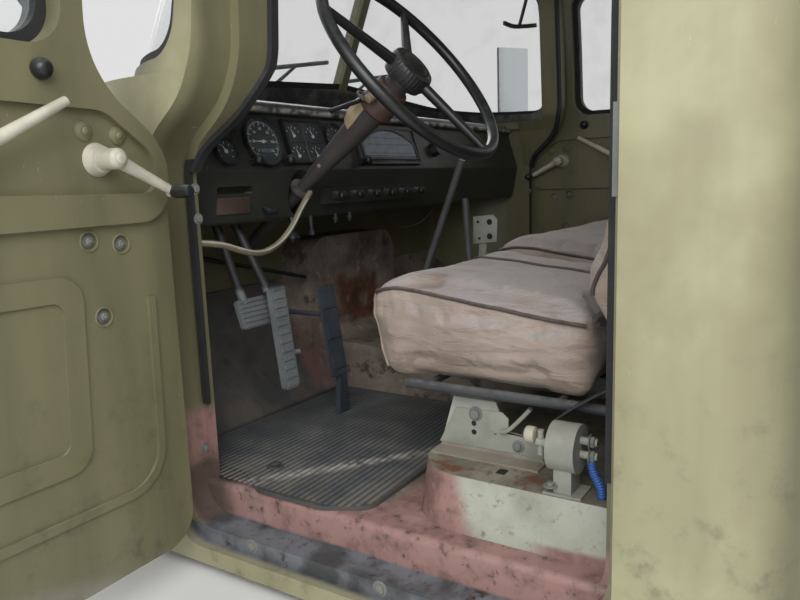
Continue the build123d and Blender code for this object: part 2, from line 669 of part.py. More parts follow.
# Pieces with a rounded end: place, height of the foot, height of the end, radius, rounding
ROUNDED = (
    (CRANK, 3.0, CRANK_REACH + 4, 16.0, 9.0),
    (CRANK_END, CRANK_REACH - 12, CRANK_REACH + KNOB_LENGTH, 9.0, 3.0),
    (LOCK, SEAT_GAP, 18.0, 12.0, 6.0),
)
fittings = [
    rod(panel_point(foot, low), panel_point(end, high), radius, end_radius)
    for foot, low, end, high, radius, end_radius in TAPERED
]
fittings += [
    rounded_rod(panel_point(place, low), panel_point(place, high), radius, rounding)
    for place, low, high, radius, rounding in ROUNDED
]
with BuildPart() as fittings_closed:
    add(fittings)

HANDLE_REAR_Y = 392.0
HANDLE_FRONT_Y = 272.0
HANDLE_Z = 800.0
HANDLE_OUT = 46.0
HANDLE_RADIUS = 8.0
HANDLE_FOOT_RADIUS = 14.0
HANDLE_GRIP_RADIUS = 10.0
HANDLE_OVERHANG = 12.0
handle_x = HALF_WIDTH + HANDLE_OUT
handle_feet = [
    rod((HALF_WIDTH + SEAT_GAP, y, HANDLE_Z), (handle_x, y, HANDLE_Z), HANDLE_FOOT_RADIUS, HANDLE_RADIUS)
    for y in (HANDLE_FRONT_Y, HANDLE_REAR_Y)
]
handle_grip = rod(
    (handle_x, HANDLE_FRONT_Y - HANDLE_OVERHANG, HANDLE_Z),
    (handle_x, HANDLE_REAR_Y + HANDLE_OVERHANG, HANDLE_Z),
    HANDLE_GRIP_RADIUS,
)
with BuildPart() as handle_closed:
    add(handle_feet)
    add(handle_grip)

door_set = {
    "door_shell": door_closed,
    "door_seal": door_rubber_closed,
    "door_glass": door_glass_closed,
    "door_fittings": fittings_closed.part,
    "door_handle": handle_closed.part,
}
door_parts = []
for name, solid in door_set.items():
    with BuildPart() as opened:
        add(solid.rotate(hinge_axis, -DOOR_OPEN_DEG))
    opened.part.label = "driver_" + name
    with BuildPart() as shut:
        add(solid.mirror(Plane.YZ))
    shut.part.label = "passenger_" + name
    door_parts += [opened.part, shut.part]

# Floor pan with its tunnel, toe board, engine cover and the podium under the driver's seat
COVER_HALF = 236.0
COVER_REAR_Y = -560.0
COVER_TOP_Z = 565.0
cabin_trim = cab_form(
    SIDE_WALL + SEAT_GAP,
    SIDE_WALL_TOP + SEAT_GAP,
    FRONT_WALL + SEAT_GAP,
    SCREEN_WALL + SEAT_GAP,
    REAR_WALL + SEAT_GAP,
    ROOF_WALL + SEAT_GAP,
    0,
    COWL_TOP_WALL + SEAT_GAP,
)
TUNNEL_FALL = 60.0
TUNNEL_RISE = 120.0
TOE_LIP = 12.0
COVER_TAPER = 30.0
COVER_RADIUS = 70.0
tunnel = side_cut(
    (
        (CABIN_FRONT_Y, SILL_PLANE_Z - 1),
        (CABIN_FRONT_Y, FLOOR_Z + TUNNEL_HEIGHT + TUNNEL_RISE),
        (TOE_Y, FLOOR_Z + TUNNEL_HEIGHT),
        (CABIN_REAR_Y, FLOOR_Z + TUNNEL_HEIGHT - TUNNEL_FALL),
        (CABIN_REAR_Y, SILL_PLANE_Z - 1),
    ),
    (0, 0, TUNNEL_FALL, 0, 0),
    -TUNNEL_HALF,
    TUNNEL_HALF,
)
toe_board = side_cut(
    (
        (CABIN_FRONT_Y, SILL_PLANE_Z - 1),
        (TOE_Y, SILL_PLANE_Z - 1),
        (TOE_Y, SILL_PLANE_Z + TOE_LIP),
        (CABIN_FRONT_Y + TOE_LIP, FLOOR_Z + TOE_HEIGHT),
        (CABIN_FRONT_Y, FLOOR_Z + TOE_HEIGHT),
    ),
    (0, 0, TOE_LIP - 2, 0, 0),
    -CABIN_HALF,
    CABIN_HALF,
)
engine_cover = front_cut(
    (
        (-COVER_HALF, SILL_PLANE_Z),
        (COVER_HALF, SILL_PLANE_Z),
        (COVER_HALF - COVER_TAPER, COVER_TOP_Z),
        (-COVER_HALF + COVER_TAPER, COVER_TOP_Z),
    ),
    (0, 0, COVER_RADIUS, COVER_RADIUS),
    CABIN_FRONT_Y,
    COVER_REAR_Y,
)
PODIUM_TAPER_DEG = 8.0
podium_spread = PODIUM_HEIGHT * math.tan(math.radians(PODIUM_TAPER_DEG))
podium = plan_cut(
    (
        (TUNNEL_HALF - 20, PODIUM_Y - podium_spread),
        (PODIUM_X + podium_spread, PODIUM_Y - podium_spread),
        (PODIUM_X + podium_spread, CABIN_REAR_Y),
        (TUNNEL_HALF - 20, CABIN_REAR_Y),
    ),
    (0, PODIUM_RADIUS, 0, 0),
    SILL_PLANE_Z,
    FLOOR_Z + PODIUM_HEIGHT,
    PODIUM_TAPER_DEG,
)
floor_low_z = SILL_PLANE_Z - FLOOR_THICKNESS
with BuildPart() as floor_pan:
    add(block(-CABIN_HALF, CABIN_HALF, CABIN_FRONT_Y, CABIN_REAR_Y, floor_low_z, SILL_PLANE_Z))
    add([tunnel, toe_board, engine_cover, podium])
    add(cabin_trim, mode=Mode.INTERSECT)
    add(column_rod(COLUMN_RADIUS + COLUMN_PLAY, 0, 1.1 * COLUMN_LENGTH), mode=Mode.SUBTRACT)
floor_pan.part.label = "floor_pan"

# Ribbed mat, cut to the sill's curve
MAT_FRONT_Y = TOE_Y + 6
MAT_REAR_Y = 20.0
mat_corners = (
    (TUNNEL_HALF + 2, MAT_FRONT_Y),
    (CABIN_HALF + 4, MAT_FRONT_Y),
    (CABIN_HALF + 4, -300.0),
    (THRESHOLD_X, -215.0),
    (THRESHOLD_X, -60.0),
    (CABIN_HALF + 20, MAT_REAR_Y),
    (TUNNEL_HALF + 2, MAT_REAR_Y),
)
with BuildPart() as floor_mat:
    add(plan_cut(mat_corners, (10, 10, 60, 60, 60, 40, 10), SILL_PLANE_Z, FLOOR_Z))
floor_mat.part.label = "floor_mat"

# Underfloor beams with the mounting holes
BEAM_X = 400.0
BEAM_WIDTH = 90.0
BEAM_WALL = 6.0
BEAM_FRONT_Y = -640.0
BEAM_REAR_Y = 660.0
MOUNT_Y = 450.0
MOUNT_HOLE_R = 9.0
CROSS_Y = (-600.0, 0.0, 620.0)
CROSS_WIDTH = 40.0
BEAM_TOP_Z = SILL_PLANE_Z - FLOOR_THICKNESS

with BuildPart() as underfloor_beams:
    for side in (-1, 1):
        with BuildSketch(Plane.XZ.offset(-BEAM_REAR_Y)) as channel:
            with Locations((side * BEAM_X, BEAM_TOP_Z / 2)):
                Rectangle(BEAM_WIDTH, BEAM_TOP_Z)
                Rectangle(BEAM_WIDTH - 2 * BEAM_WALL, BEAM_TOP_Z - 2 * BEAM_WALL, mode=Mode.SUBTRACT)
        extrude(amount=BEAM_REAR_Y - BEAM_FRONT_Y)
    cross_reach = BEAM_X - BEAM_WIDTH / 2
    for y in CROSS_Y:
        y0 = y - CROSS_WIDTH / 2
        add(block(-cross_reach, cross_reach, y0, y0 + CROSS_WIDTH, BEAM_TOP_Z / 2, BEAM_TOP_Z))
    with Locations(*[(sx * BEAM_X, sy * MOUNT_Y, BEAM_WALL / 2) for sx in (-1, 1) for sy in (-1, 1)]):
        Hole(MOUNT_HOLE_R, BEAM_WALL)
underfloor_beams.part.label = "underfloor_beams"

# Dash panel: pad with defroster slots, leaning instrument face and the lower panel with its cut-outs
DASH_IN = 114.0
DASH_HALF = HALF_WIDTH - DASH_IN
PAD_FRONT = (-590.0, 930.0)
PAD_REAR = (-404.0, 898.0)
LIP = (-394.0, 880.0)
FACE_TOP = (-408.0, 868.0)
FACE_LOW = (-372.0, 748.0)
DASH_LOW = (-395.0, 636.0)
DASH_FOLD = 40.0
# Slots in the pad: middle x, length
PAD_SLOTS = ((560.0, 230.0), (300.0, 190.0), (-80.0, 190.0), (-420.0, 230.0))
SLOT_WIDTH = 16.0
SLOT_DEPTH = 12.0
SLOT_OFFSET = 46.0
# Cut-outs of the lower panel: middle x, middle z, width, height
LOWER_CUTS = ((658.0, 708.0, 104.0, 15.0),)
LOWER_CUT_RADIUS = 6.0
LOWER_CUT_DEPTH = 34.0
DASH_RADII = (0.0, 14.0, 8.0, 5.0, 12.0, 12.0, 0.0, 0.0)
DASH_BACK = 60.0
dash_form = side_cut(
    (
        PAD_FRONT,
        PAD_REAR,
        LIP,
        FACE_TOP,
        FACE_LOW,
        DASH_LOW,
        (DASH_LOW[0] - DASH_FOLD, DASH_LOW[1]),
        (PAD_FRONT[0], PAD_FRONT[1] - DASH_BACK),
    ),
    DASH_RADII,
    -DASH_HALF,
    DASH_HALF,
)
pad_lean = math.degrees(math.atan2(PAD_FRONT[1] - PAD_REAR[1], PAD_REAR[0] - PAD_FRONT[0]))
pad_plane = Plane(
    origin=(0, (PAD_FRONT[0] + PAD_REAR[0]) / 2, (PAD_FRONT[1] + PAD_REAR[1]) / 2),
    x_dir=(1, 0, 0),
    z_dir=(0, math.sin(math.radians(pad_lean)), math.cos(math.radians(pad_lean))),
)
with BuildPart() as dash_panel:
    add(dash_form)
    add(cabin_trim, mode=Mode.INTERSECT)
    for x, length in PAD_SLOTS:
        with BuildSketch(pad_plane):
            with Locations((x, SLOT_OFFSET)):
                SlotOverall(length, SLOT_WIDTH)
        extrude(amount=-SLOT_DEPTH, mode=Mode.SUBTRACT)
    for x, z, width, height in LOWER_CUTS:
        with BuildSketch(Plane.XZ.offset(-FACE_LOW[0])):
            with Locations((x, z)):
                RectangleRounded(width, height, LOWER_CUT_RADIUS)
        extrude(amount=LOWER_CUT_DEPTH, mode=Mode.SUBTRACT)
    add(column_rod(JACKET_RADIUS + COLUMN_PLAY, 0, COLUMN_LENGTH), mode=Mode.SUBTRACT)
dash_panel.part.label = "dash_panel"

# Instruments: round gauges, a square one, an arched panel and small knobs on the leaning face
face_lean = math.degrees(math.atan2(FACE_LOW[0] - FACE_TOP[0], FACE_TOP[1] - FACE_LOW[1]))
face_plane = Plane(
    origin=(0, (FACE_TOP[0] + FACE_LOW[0]) / 2, (FACE_TOP[1] + FACE_LOW[1]) / 2),
    x_dir=(-1, 0, 0),
    z_dir=(0, math.cos(math.radians(face_lean)), math.sin(math.radians(face_lean))),
)
BEZEL = 5.0
BEZEL_HEIGHT = 12.0
DIAL_HEIGHT = 5.0
# Round gauges: x, height along the face from its middle, radius
ROUND_GAUGES = ((679.0, -24.0, 26.0), (560.0, 0.0, 52.0), (300.0, 12.0, 36.0))
# Small knobs on the face: x, height along the face, radius
FACE_KNOBS = ((607.0, -46.0, 8.0), (506.0, -46.0, 8.0), (204.0, -46.0, 8.0), (-188.0, -6.0, 22.0))
FACE_KNOB_HEIGHT = 22.0
KNOB_TAPER = 0.8
# Square gauge and arched panel: x, height along the face, width, height
SQUARE_GAUGE = (418.0, 2.0, 138.0, 104.0)
ARCHED_PANEL = (70.0, 0.0, 300.0, 104.0)
with BuildPart(face_plane.offset(SEAT_GAP)) as instruments:
    for x, height, radius in ROUND_GAUGES:
        with Locations((-x, height, BEZEL_HEIGHT / 2)):
            Cylinder(radius + BEZEL, BEZEL_HEIGHT)
        with Locations((-x, height, BEZEL_HEIGHT)):
            Cylinder(radius, 2 * (BEZEL_HEIGHT - DIAL_HEIGHT), mode=Mode.SUBTRACT)
    for x, height, width, tall in (SQUARE_GAUGE, ARCHED_PANEL):
        with Locations((-x, height, BEZEL_HEIGHT / 2)):
            Box(width, tall, BEZEL_HEIGHT)
        with Locations((-x, height, BEZEL_HEIGHT)):
            Box(width - 2 * BEZEL, tall - 2 * BEZEL, 2 * (BEZEL_HEIGHT - DIAL_HEIGHT), mode=Mode.SUBTRACT)
    for x, height, radius in FACE_KNOBS:
        with Locations((-x, height, 0)):
            Cone(radius, KNOB_TAPER * radius, FACE_KNOB_HEIGHT, align=(Align.CENTER, Align.CENTER, Align.MIN))
instruments.part.label = "instruments"

# Control strip on the lower panel with its row of knobs
STRIP_X = (-77.0, 375.0)
STRIP_Z = (666.0, 704.0)
STRIP_DEPTH = 12.0
KNOB_COUNT = 6
KNOB_RADIUS = 11.0
KNOB_HEIGHT = 20.0
strip_slope = (FACE_LOW[0] - DASH_LOW[0]) / (FACE_LOW[1] - DASH_LOW[1])
strip_y = FACE_LOW[0] - strip_slope * (FACE_LOW[1] - STRIP_Z[1])
with BuildPart() as control_strip:
    with BuildSketch(Plane.YZ.offset(STRIP_X[0])):
        with BuildLine():
            Polyline(
                (strip_y + SEAT_GAP, STRIP_Z[1]),
                (strip_y + STRIP_DEPTH, STRIP_Z[1]),
                (strip_y + STRIP_DEPTH, STRIP_Z[0]),
                (strip_y - strip_slope * (STRIP_Z[1] - STRIP_Z[0]) + SEAT_GAP, STRIP_Z[0]),
                close=True,
            )
        make_face()
    extrude(amount=STRIP_X[1] - STRIP_X[0])
    knob_step = (STRIP_X[1] - STRIP_X[0]) / KNOB_COUNT
    for index in range(KNOB_COUNT):
        knob_x = STRIP_X[0] + (index + 0.5) * knob_step
        knob_foot = Plane(origin=(knob_x, strip_y + STRIP_DEPTH, sum(STRIP_Z) / 2), z_dir=(0, 1, 0))
        with Locations(knob_foot.location):
            Cone(
                KNOB_RADIUS,
                KNOB_TAPER * KNOB_RADIUS,
                KNOB_HEIGHT,
                align=(Align.CENTER, Align.CENTER, Align.MIN),
            )
control_strip.part.label = "control_strip"

# Steering wheel: rim, three tapering spokes and a domed hub
SPOKE_ANGLES = (150.0, 285.0, 51.0)
SPOKE_RADIUS = 12.0
SPOKE_TIP_RADIUS = 8.4
SPOKE_ROOT = 20.0
HUB_ROUNDING = 14.0
spokes = []
for angle in SPOKE_ANGLES:
    turn = math.radians(angle)
    reach = WHEEL_RADIUS - RIM_RADIUS
    foot = wheel_plane.from_local_coords(
        Vector(SPOKE_ROOT * math.cos(turn), SPOKE_ROOT * math.sin(turn), -HUB_DROP)
    )
    tip = wheel_plane.from_local_coords(Vector(reach * math.cos(turn), reach * math.sin(turn), 0))
    spokes.append(rod(tuple(foot), tuple(tip), SPOKE_RADIUS, SPOKE_TIP_RADIUS))
with BuildPart(wheel_plane) as steering_wheel:
    Torus(WHEEL_RADIUS - RIM_RADIUS, RIM_RADIUS)
    with Locations((0, 0, -HUB_DROP)):
        Cylinder(HUB_RADIUS, HUB_HEIGHT)
    hub_edge = steering_wheel.edges().filter_by(GeomType.CIRCLE).sort_by(Axis((0, 0, 0), axis_dir))[-1]
    fillet(hub_edge, HUB_ROUNDING)
steering_wheel.part = steering_wheel.part + spokes
steering_wheel.part.label = "steering_wheel"

# Steering column: jacket with its stalk, switch collar and clamp, thinner tube below
STALK = ((478.0, -146.0, 893.0), (560.0, -198.0, 860.0))
CLAMP_START = 268.0
CLAMP_LENGTH = 40.0
SWITCH_START = 84.0
SWITCH_LENGTH = 46.0
SWITCH_OUT = 7.0
CLAMP_OUT = 5.0
STALK_RADIUS = 5.0
with BuildPart() as steering_column:
    add(column_rod(JACKET_RADIUS, 0, JACKET_LENGTH))
    add(column_rod(COLUMN_RADIUS, 0, COLUMN_LENGTH))
    add(column_rod(JACKET_RADIUS + SWITCH_OUT, SWITCH_START, SWITCH_START + SWITCH_LENGTH))
    add(column_rod(JACKET_RADIUS + CLAMP_OUT, CLAMP_START, CLAMP_START + CLAMP_LENGTH))
    add(rod(*STALK, STALK_RADIUS))
steering_column.part.label = "steering_column"


# Pedals: ribbed clutch pad, long brake treadle and flat accelerator, each on its arm
PIVOT_Y = -463.2
PIVOT_Z = 660.0
PAD_ROUNDING = 8.0
PAD_RIB_INSET = 12.0
PAD_RIB_HEIGHT = 6.0
PEDAL_ARM_RADIUS = 10.0
LINK_Z = 400.0
LINK_RADIUS = 6.0
TOE_SLOPE = (TOE_Y - CABIN_FRONT_Y - TOE_LIP) / (TOE_HEIGHT + MAT - TOE_LIP)
HEEL_TOP_Z = 272.0
HEEL_Y = (-346.0, -332.0)
# Heel plate under the accelerator: x at the floor and at its top
HEEL_FOOT_X = (362.0, 404.0)
HEEL_TOP_X = (372.0, 396.0)


def pedal_pad(top, bottom, width, thickness, ribs):
    """A pad between the middles of its top and bottom edges, leaning with them, ribs across its face."""
    run = Vector(*bottom) - Vector(*top)
    face_dir = Vector(1, 0, 0).cross(run)
    face = Plane(origin=(Vector(*top) + Vector(*bottom)) / 2, x_dir=(1, 0, 0), z_dir=face_dir)
    with BuildPart(face) as pad:
        Box(width, run.length, thickness)
        fillet(pad.edges().filter_by(Axis(face.origin, face.z_dir)), PAD_ROUNDING)
        for index in range(ribs):
            across = run.length * ((index + 0.5) / ribs - 0.5)
            with Locations((0, across, thickness / 2)):
                Box(width - PAD_RIB_INSET, run.length / ribs / 2, PAD_RIB_HEIGHT)
    return pad.part


clutch_pad = pedal_pad((609.0, -404.0, 472.0), (609.0, -384.0, 410.0), 103.0, 10.0, 6)
clutch_arm = rod((634.0, -402.0, 462.0), (650.0, PIVOT_Y, PIVOT_Z), PEDAL_ARM_RADIUS)
with BuildPart() as clutch_pedal:
    add([clutch_pad, clutch_arm])
clutch_pedal.part.label = "clutch_pedal"

brake_pad = pedal_pad((590.0, -366.0, 500.0), (556.0, -336.0, 266.0), 46.0, 14.0, 12)
brake_arm = rod((590.0, -372.0, 486.0), (600.0, PIVOT_Y, PIVOT_Z), PEDAL_ARM_RADIUS)
brake_pin = rod((528.0, -346.0, 338.0), (590.0, -354.0, 342.0), LINK_RADIUS)
with BuildPart() as brake_pedal:
    add([brake_pad, brake_arm, brake_pin])
brake_pedal.part.label = "brake_pedal"

accelerator_pad = pedal_pad((413.0, -366.0, 470.0), (382.0, -334.0, 252.0), 58.0, 8.0, 3)
link_end_y = TOE_Y - (LINK_Z - LINK_RADIUS - SILL_PLANE_Z - TOE_LIP) * TOE_SLOPE + SEAT_GAP
accelerator_link = rod((403.0, -352.0, LINK_Z), (403.0, link_end_y, LINK_Z), LINK_RADIUS)
heel = front_cut(
    (
        (HEEL_FOOT_X[0], FLOOR_Z + SEAT_GAP),
        (HEEL_FOOT_X[1], FLOOR_Z + SEAT_GAP),
        (HEEL_TOP_X[1], HEEL_TOP_Z),
        (HEEL_TOP_X[0], HEEL_TOP_Z),
    ),
    3,
    *HEEL_Y,
)
with BuildPart() as accelerator:
    add([accelerator_pad, accelerator_link, heel])
accelerator.part.label = "accelerator"

# Levers leaning out of their rubber boots on the tunnel
tunnel_slope = TUNNEL_FALL / (CABIN_REAR_Y - TOE_Y)


def tunnel_top(y):
    """Height of the tunnel's top at a place along the cab."""
    return FLOOR_Z + TUNNEL_HEIGHT - (y - TOE_Y) * tunnel_slope


def lever(x, foot_y, tip, radius, boot_radius, boot_height):
    """A bar from the tunnel up to its tip, with a tapering boot round its foot."""
    foot = (x, foot_y, tunnel_top(foot_y - boot_radius) + SEAT_GAP)
    boot_top = (x, foot_y, foot[2] + boot_height)
    with BuildPart() as made:
        add(rod(foot, boot_top, boot_radius, radius + 4))
        add(rod((x, foot_y, boot_top[2] - 12), tip, radius))
    return made.part


gear_lever = lever(100.0, -318.0, (100.0, -140.0, 762.0), 9.0, 46.0, 60.0)
gear_lever.label = "gear_lever"
transfer_lever = lever(60.0, -132.0, (60.0, -154.0, 664.0), 9.0, 40.0, 50.0)
transfer_lever.label = "transfer_lever"


def cushion(x0, x1, rise):
    """A wedge-shaped seat cushion: its front face leans forward and its top falls towards the backrest."""
    corners = (
        (CUSHION_FOOT_Y, CUSHION_BOTTOM_Z + rise),
        (CUSHION_FRONT_Y, CUSHION_TOP_Z + rise),
        (CUSHION_REAR_Y, CUSHION_REAR_TOP_Z + rise),
        (CUSHION_REAR_Y, CUSHION_BOTTOM_Z + rise),
    )
    with BuildPart() as pad:
        add(side_cut(corners, CUSHION_RADII, x0, x1))
        fillet(pad.faces().filter_by(Axis.X).edges(), CUSHION_ROUNDING)
    return pad.part


BACK_FOOT = (402.0, 476.0)
BACK_BULGE = (366.0, 530.0)
BACK_THICKNESS = 96.0
BACK_TOP_Z = 980.0
BACK_SLOPE = 0.31
BACK_RADII = (14.0, 20.0, 36.0, 36.0, 30.0)
BACK_ROUNDING = 12.0


def backrest(x0, x1, rise):
    """A backrest's closed form: profile with a bulged lower front, leaning back."""
    top_y = BACK_BULGE[0] + BACK_SLOPE * (BACK_TOP_Z - BACK_BULGE[1])
    corners = (
        (BACK_FOOT[0], BACK_FOOT[1] + rise),
        (BACK_BULGE[0], BACK_BULGE[1] + rise),
        (top_y, BACK_TOP_Z + rise),
        (top_y + BACK_THICKNESS, BACK_TOP_Z + rise),
        (BACK_FOOT[0] + BACK_THICKNESS, BACK_FOOT[1] + rise),
    )
    with BuildPart() as pad:
        add(side_cut(corners, BACK_RADII, x0, x1))
        fillet(pad.faces().filter_by(Axis.X).edges(), BACK_ROUNDING)
    return pad.part


driver_cushion = cushion(*DRIVER_X, 0)
driver_cushion.label = "driver_cushion"
passenger_cushion = cushion(*PASSENGER_X, PASSENGER_RISE)
passenger_cushion.label = "passenger_cushion"
driver_backrest = backrest(*DRIVER_X, 0)
driver_backrest.label = "driver_backrest"
passenger_backrest = backrest(*PASSENGER_X, PASSENGER_RISE)
passenger_backrest.label = "passenger_backrest"

# Driver's seat frame: side and cross tubes on folded brackets, uprights behind the backrest
FRAME_X = (222.0, 688.0)
FRAME_FRONT_Y = 46.0
FRAME_REAR_Y = 520.0
FRAME_Z = CUSHION_BOTTOM_Z - SEAT_TUBE_RADIUS - SEAT_GAP
PODIUM_TOP_Z = FLOOR_Z + PODIUM_HEIGHT
BRACKET_Y = (96.0, 298.0)
BRACKET_HEAD_Y = (131.0, 200.0)
BRACKET_HEAD_Z = FRAME_Z - 4
BRACKET_SHEET = 4.0
BRACKET_IN = 30.0
BRACKET_EDGE = 6.0
CROSS_TUBE_Y = (86.0, 330.0, 490.0)
UPRIGHT_LEAN = 60.0
UPRIGHT_HEIGHT = 240.0
bracket_profile = (
    (BRACKET_Y[0], PODIUM_TOP_Z),
    (BRACKET_HEAD_Y[0], BRACKET_HEAD_Z),
    (BRACKET_HEAD_Y[1], BRACKET_HEAD_Z),
    (214.0, 316.0),
    (232.0, 284.0),
    (276.0, 279.0),
    (BRACKET_Y[1], PODIUM_TOP_Z),
)
back_y = BACK_FOOT[0] + BACK_THICKNESS + SEAT_TUBE_RADIUS + 2
upright_end = (back_y + UPRIGHT_LEAN, FRAME_Z + UPRIGHT_HEIGHT)
with BuildPart() as driver_seat_frame:
    for x in FRAME_X:
        add(rod((x, FRAME_FRONT_Y, FRAME_Z), (x, FRAME_REAR_Y, FRAME_Z), SEAT_TUBE_RADIUS))
        inner_x = x - math.copysign(BRACKET_IN, x - sum(DRIVER_X) / 2)
        low_x = min(x, inner_x) - BRACKET_EDGE
        high_x = max(x, inner_x) + BRACKET_EDGE
        add(side_cut(bracket_profile, 0, inner_x - BRACKET_SHEET / 2, inner_x + BRACKET_SHEET / 2))
        add(block(low_x, high_x, *BRACKET_Y, PODIUM_TOP_Z, PODIUM_TOP_Z + BRACKET_SHEET))
        add(block(low_x, high_x, *BRACKET_HEAD_Y, BRACKET_HEAD_Z - BRACKET_SHEET, BRACKET_HEAD_Z))
        add(rod((x, back_y, FRAME_Z), (x, *upright_end), SEAT_TUBE_RADIUS - 1))
    for y in CROSS_TUBE_Y:
        add(rod((FRAME_X[0], y, FRAME_Z), (FRAME_X[1], y, FRAME_Z), SEAT_TUBE_RADIUS - 2))
driver_seat_frame.part.label = "driver_seat_frame"

# Passenger's seat box: an open locker of folded sheet
LOCKER_WALL = 8.0
LOCKER_X = (PASSENGER_X[0] + 20, -TUNNEL_HALF - 6)
LOCKER_Y = (40.0, 460.0)
LOCKER_TOP_Z = CUSHION_BOTTOM_Z + PASSENGER_RISE - SEAT_GAP
locker_room = block(
    LOCKER_X[0] + LOCKER_WALL,
    LOCKER_X[1] - LOCKER_WALL,
    LOCKER_Y[0] + LOCKER_WALL,
    LOCKER_Y[1] - LOCKER_WALL,
    SILL_PLANE_Z + LOCKER_WALL,
    FAR,
)
with BuildPart() as passenger_seat_base:
    add(block(*LOCKER_X, *LOCKER_Y, SILL_PLANE_Z, LOCKER_TOP_Z))
    add(locker_room, mode=Mode.SUBTRACT)
passenger_seat_base.part.label = "passenger_seat_base"

# Battery switch on the podium: bracket, drum, turn handle and two terminals
SWITCH_X = 738.0
DRUM_Z = 308.0
DRUM_Y = (340.0, 384.0)
DRUM_RADIUS = 38.0
TERMINAL_Z = (300.0, 322.0)
STUD_RADIUS = 6.0
STUD_LENGTH = 26.0
TURN_Y = DRUM_Y[0] - 20
TURN_HALF = 20.0
SWITCH_FOOT_X = (SWITCH_X - 28, SWITCH_X + 24)
SWITCH_FOOT_OVERHANG = 8.0
drum = rod((SWITCH_X, DRUM_Y[0], DRUM_Z), (SWITCH_X, DRUM_Y[1], DRUM_Z), DRUM_RADIUS)
spindle = rod((SWITCH_X, TURN_Y - 6, DRUM_Z), (SWITCH_X, DRUM_Y[0] + 2, DRUM_Z), STUD_RADIUS + 1)
handle = rod((SWITCH_X, TURN_Y, DRUM_Z - TURN_HALF), (SWITCH_X, TURN_Y, DRUM_Z + TURN_HALF), STUD_RADIUS - 1)
studs = [
    rod((SWITCH_X, DRUM_Y[1] - 2, z), (SWITCH_X, DRUM_Y[1] + STUD_LENGTH, z), STUD_RADIUS) for z in TERMINAL_Z
]
foot = block(
    *SWITCH_FOOT_X,
    DRUM_Y[0] - SWITCH_FOOT_OVERHANG,
    DRUM_Y[1] + SWITCH_FOOT_OVERHANG,
    PODIUM_TOP_Z,
    PODIUM_TOP_Z + BRACKET_SHEET,
)
post = block(
    SWITCH_X - TURN_HALF,
    SWITCH_X + TURN_HALF,
    DRUM_Y[0] + SWITCH_FOOT_OVERHANG,
    DRUM_Y[1] - SWITCH_FOOT_OVERHANG,
    PODIUM_TOP_Z,
    DRUM_Z,
)
with BuildPart() as battery_switch:
    add([drum, spindle, handle, *studs, foot, post])
battery_switch.part.label = "battery_switch"

# Wipers: blade and arm on a spindle for each pane, lying along the screen's lower edge
BLADE = ((284.0, 1010.0), (45.0, 1050.0))
WIPER_SPINDLE = (262.0, 958.0)
SPINDLE_RADIUS = 9.0
SPINDLE_HEIGHT = 24.0
BLADE_LIFT = 16.0
BLADE_RADIUS = 6.0
ARM_LIFT = (14.0, 20.0)
ARM_TIP_RADIUS = 4.0
# How far each wiper stands from the driver's one
WIPER_SHIFTS = (0.0, -359.0)


def screen_place(x, z, lift):
    """A point over the flat middle of the windscreen band, lifted square off it."""
    rake = math.radians(SCREEN_RAKE_DEG)
    y = SCREEN_BASE_Y + (z - BELT_Z) * SCREEN_LEAN
    return (x, y - lift * math.cos(rake), z + lift * math.sin(rake))


with BuildPart() as wipers:
    for shift in WIPER_SHIFTS:
        mid = ((BLADE[0][0] + BLADE[1][0]) / 2 + shift, (BLADE[0][1] + BLADE[1][1]) / 2)
        blade = [screen_place(x + shift, z, BLADE_LIFT) for x, z in BLADE]
        spindle_foot = (WIPER_SPINDLE[0] + shift, WIPER_SPINDLE[1])
        add(rod(blade[0], blade[1], BLADE_RADIUS))
        add(
            rod(
                screen_place(*spindle_foot, ARM_LIFT[0]),
                screen_place(*mid, ARM_LIFT[1]),
                BLADE_RADIUS,
                ARM_TIP_RADIUS,
            )
        )
        add(
            rod(
                screen_place(*spindle_foot, SEAT_GAP),
                screen_place(*spindle_foot, SPINDLE_HEIGHT),
                SPINDLE_RADIUS,
            )
        )
wipers.part.label = "wipers"

# Mirrors on bent arms from the cowl's sides: a small round one left, a tall one right
MIRROR_FOOT = (HALF_WIDTH + SEAT_GAP, -400.0, 812.0)
MIRROR_FOOT_RADIUS = 22.0
MIRROR_FOOT_HEIGHT = 8.0
MIRROR_DEPTH = 14.0
ELBOW_Z = 850.0
ROUND_MIRROR = (1024.0, -424.0, 1046.0)
ROUND_MIRROR_RADIUS = 46.0
ROUND_MIRROR_TURN_DEG = -17.5
TALL_MIRROR = (-1004.0, -480.0, 1092.0)
TALL_MIRROR_SIZE = (134.0, 246.0)
TALL_MIRROR_TURN_DEG = 34.0
ARM_RADIUS = 7.0
ELBOW_RADIUS = 9.0


def mirror_plane(centre, turn_deg):
    """The plane of a mirror's back, facing the rear and turned towards the cab."""
    turn = math.radians(turn_deg)
    return Plane(
        origin=centre, x_dir=(math.cos(turn), -math.sin(turn), 0), z_dir=(math.sin(turn), math.cos(turn), 0)
    )


def mirror_arm(side, centre, back):
    """A disc foot on the cowl's side, a bar out to the elbow, and a bar up to the mirror's back."""
    foot = (side * MIRROR_FOOT[0], MIRROR_FOOT[1], MIRROR_FOOT[2])
    foot_end = (foot[0] + side * MIRROR_FOOT_HEIGHT, foot[1], foot[2])
    elbow = (centre[0], centre[1] - back, ELBOW_Z)
    with BuildPart() as arm:
        add(rod(foot, foot_end, MIRROR_FOOT_RADIUS))
        add(rod((foot[0] + side * ARM_RADIUS, foot[1], foot[2]), elbow, ARM_RADIUS))
        add(rod(elbow, (centre[0], centre[1] - back / 4, centre[2] - ARM_RADIUS), ARM_RADIUS))
        with Locations(elbow):
            Sphere(ELBOW_RADIUS)
    return arm.part


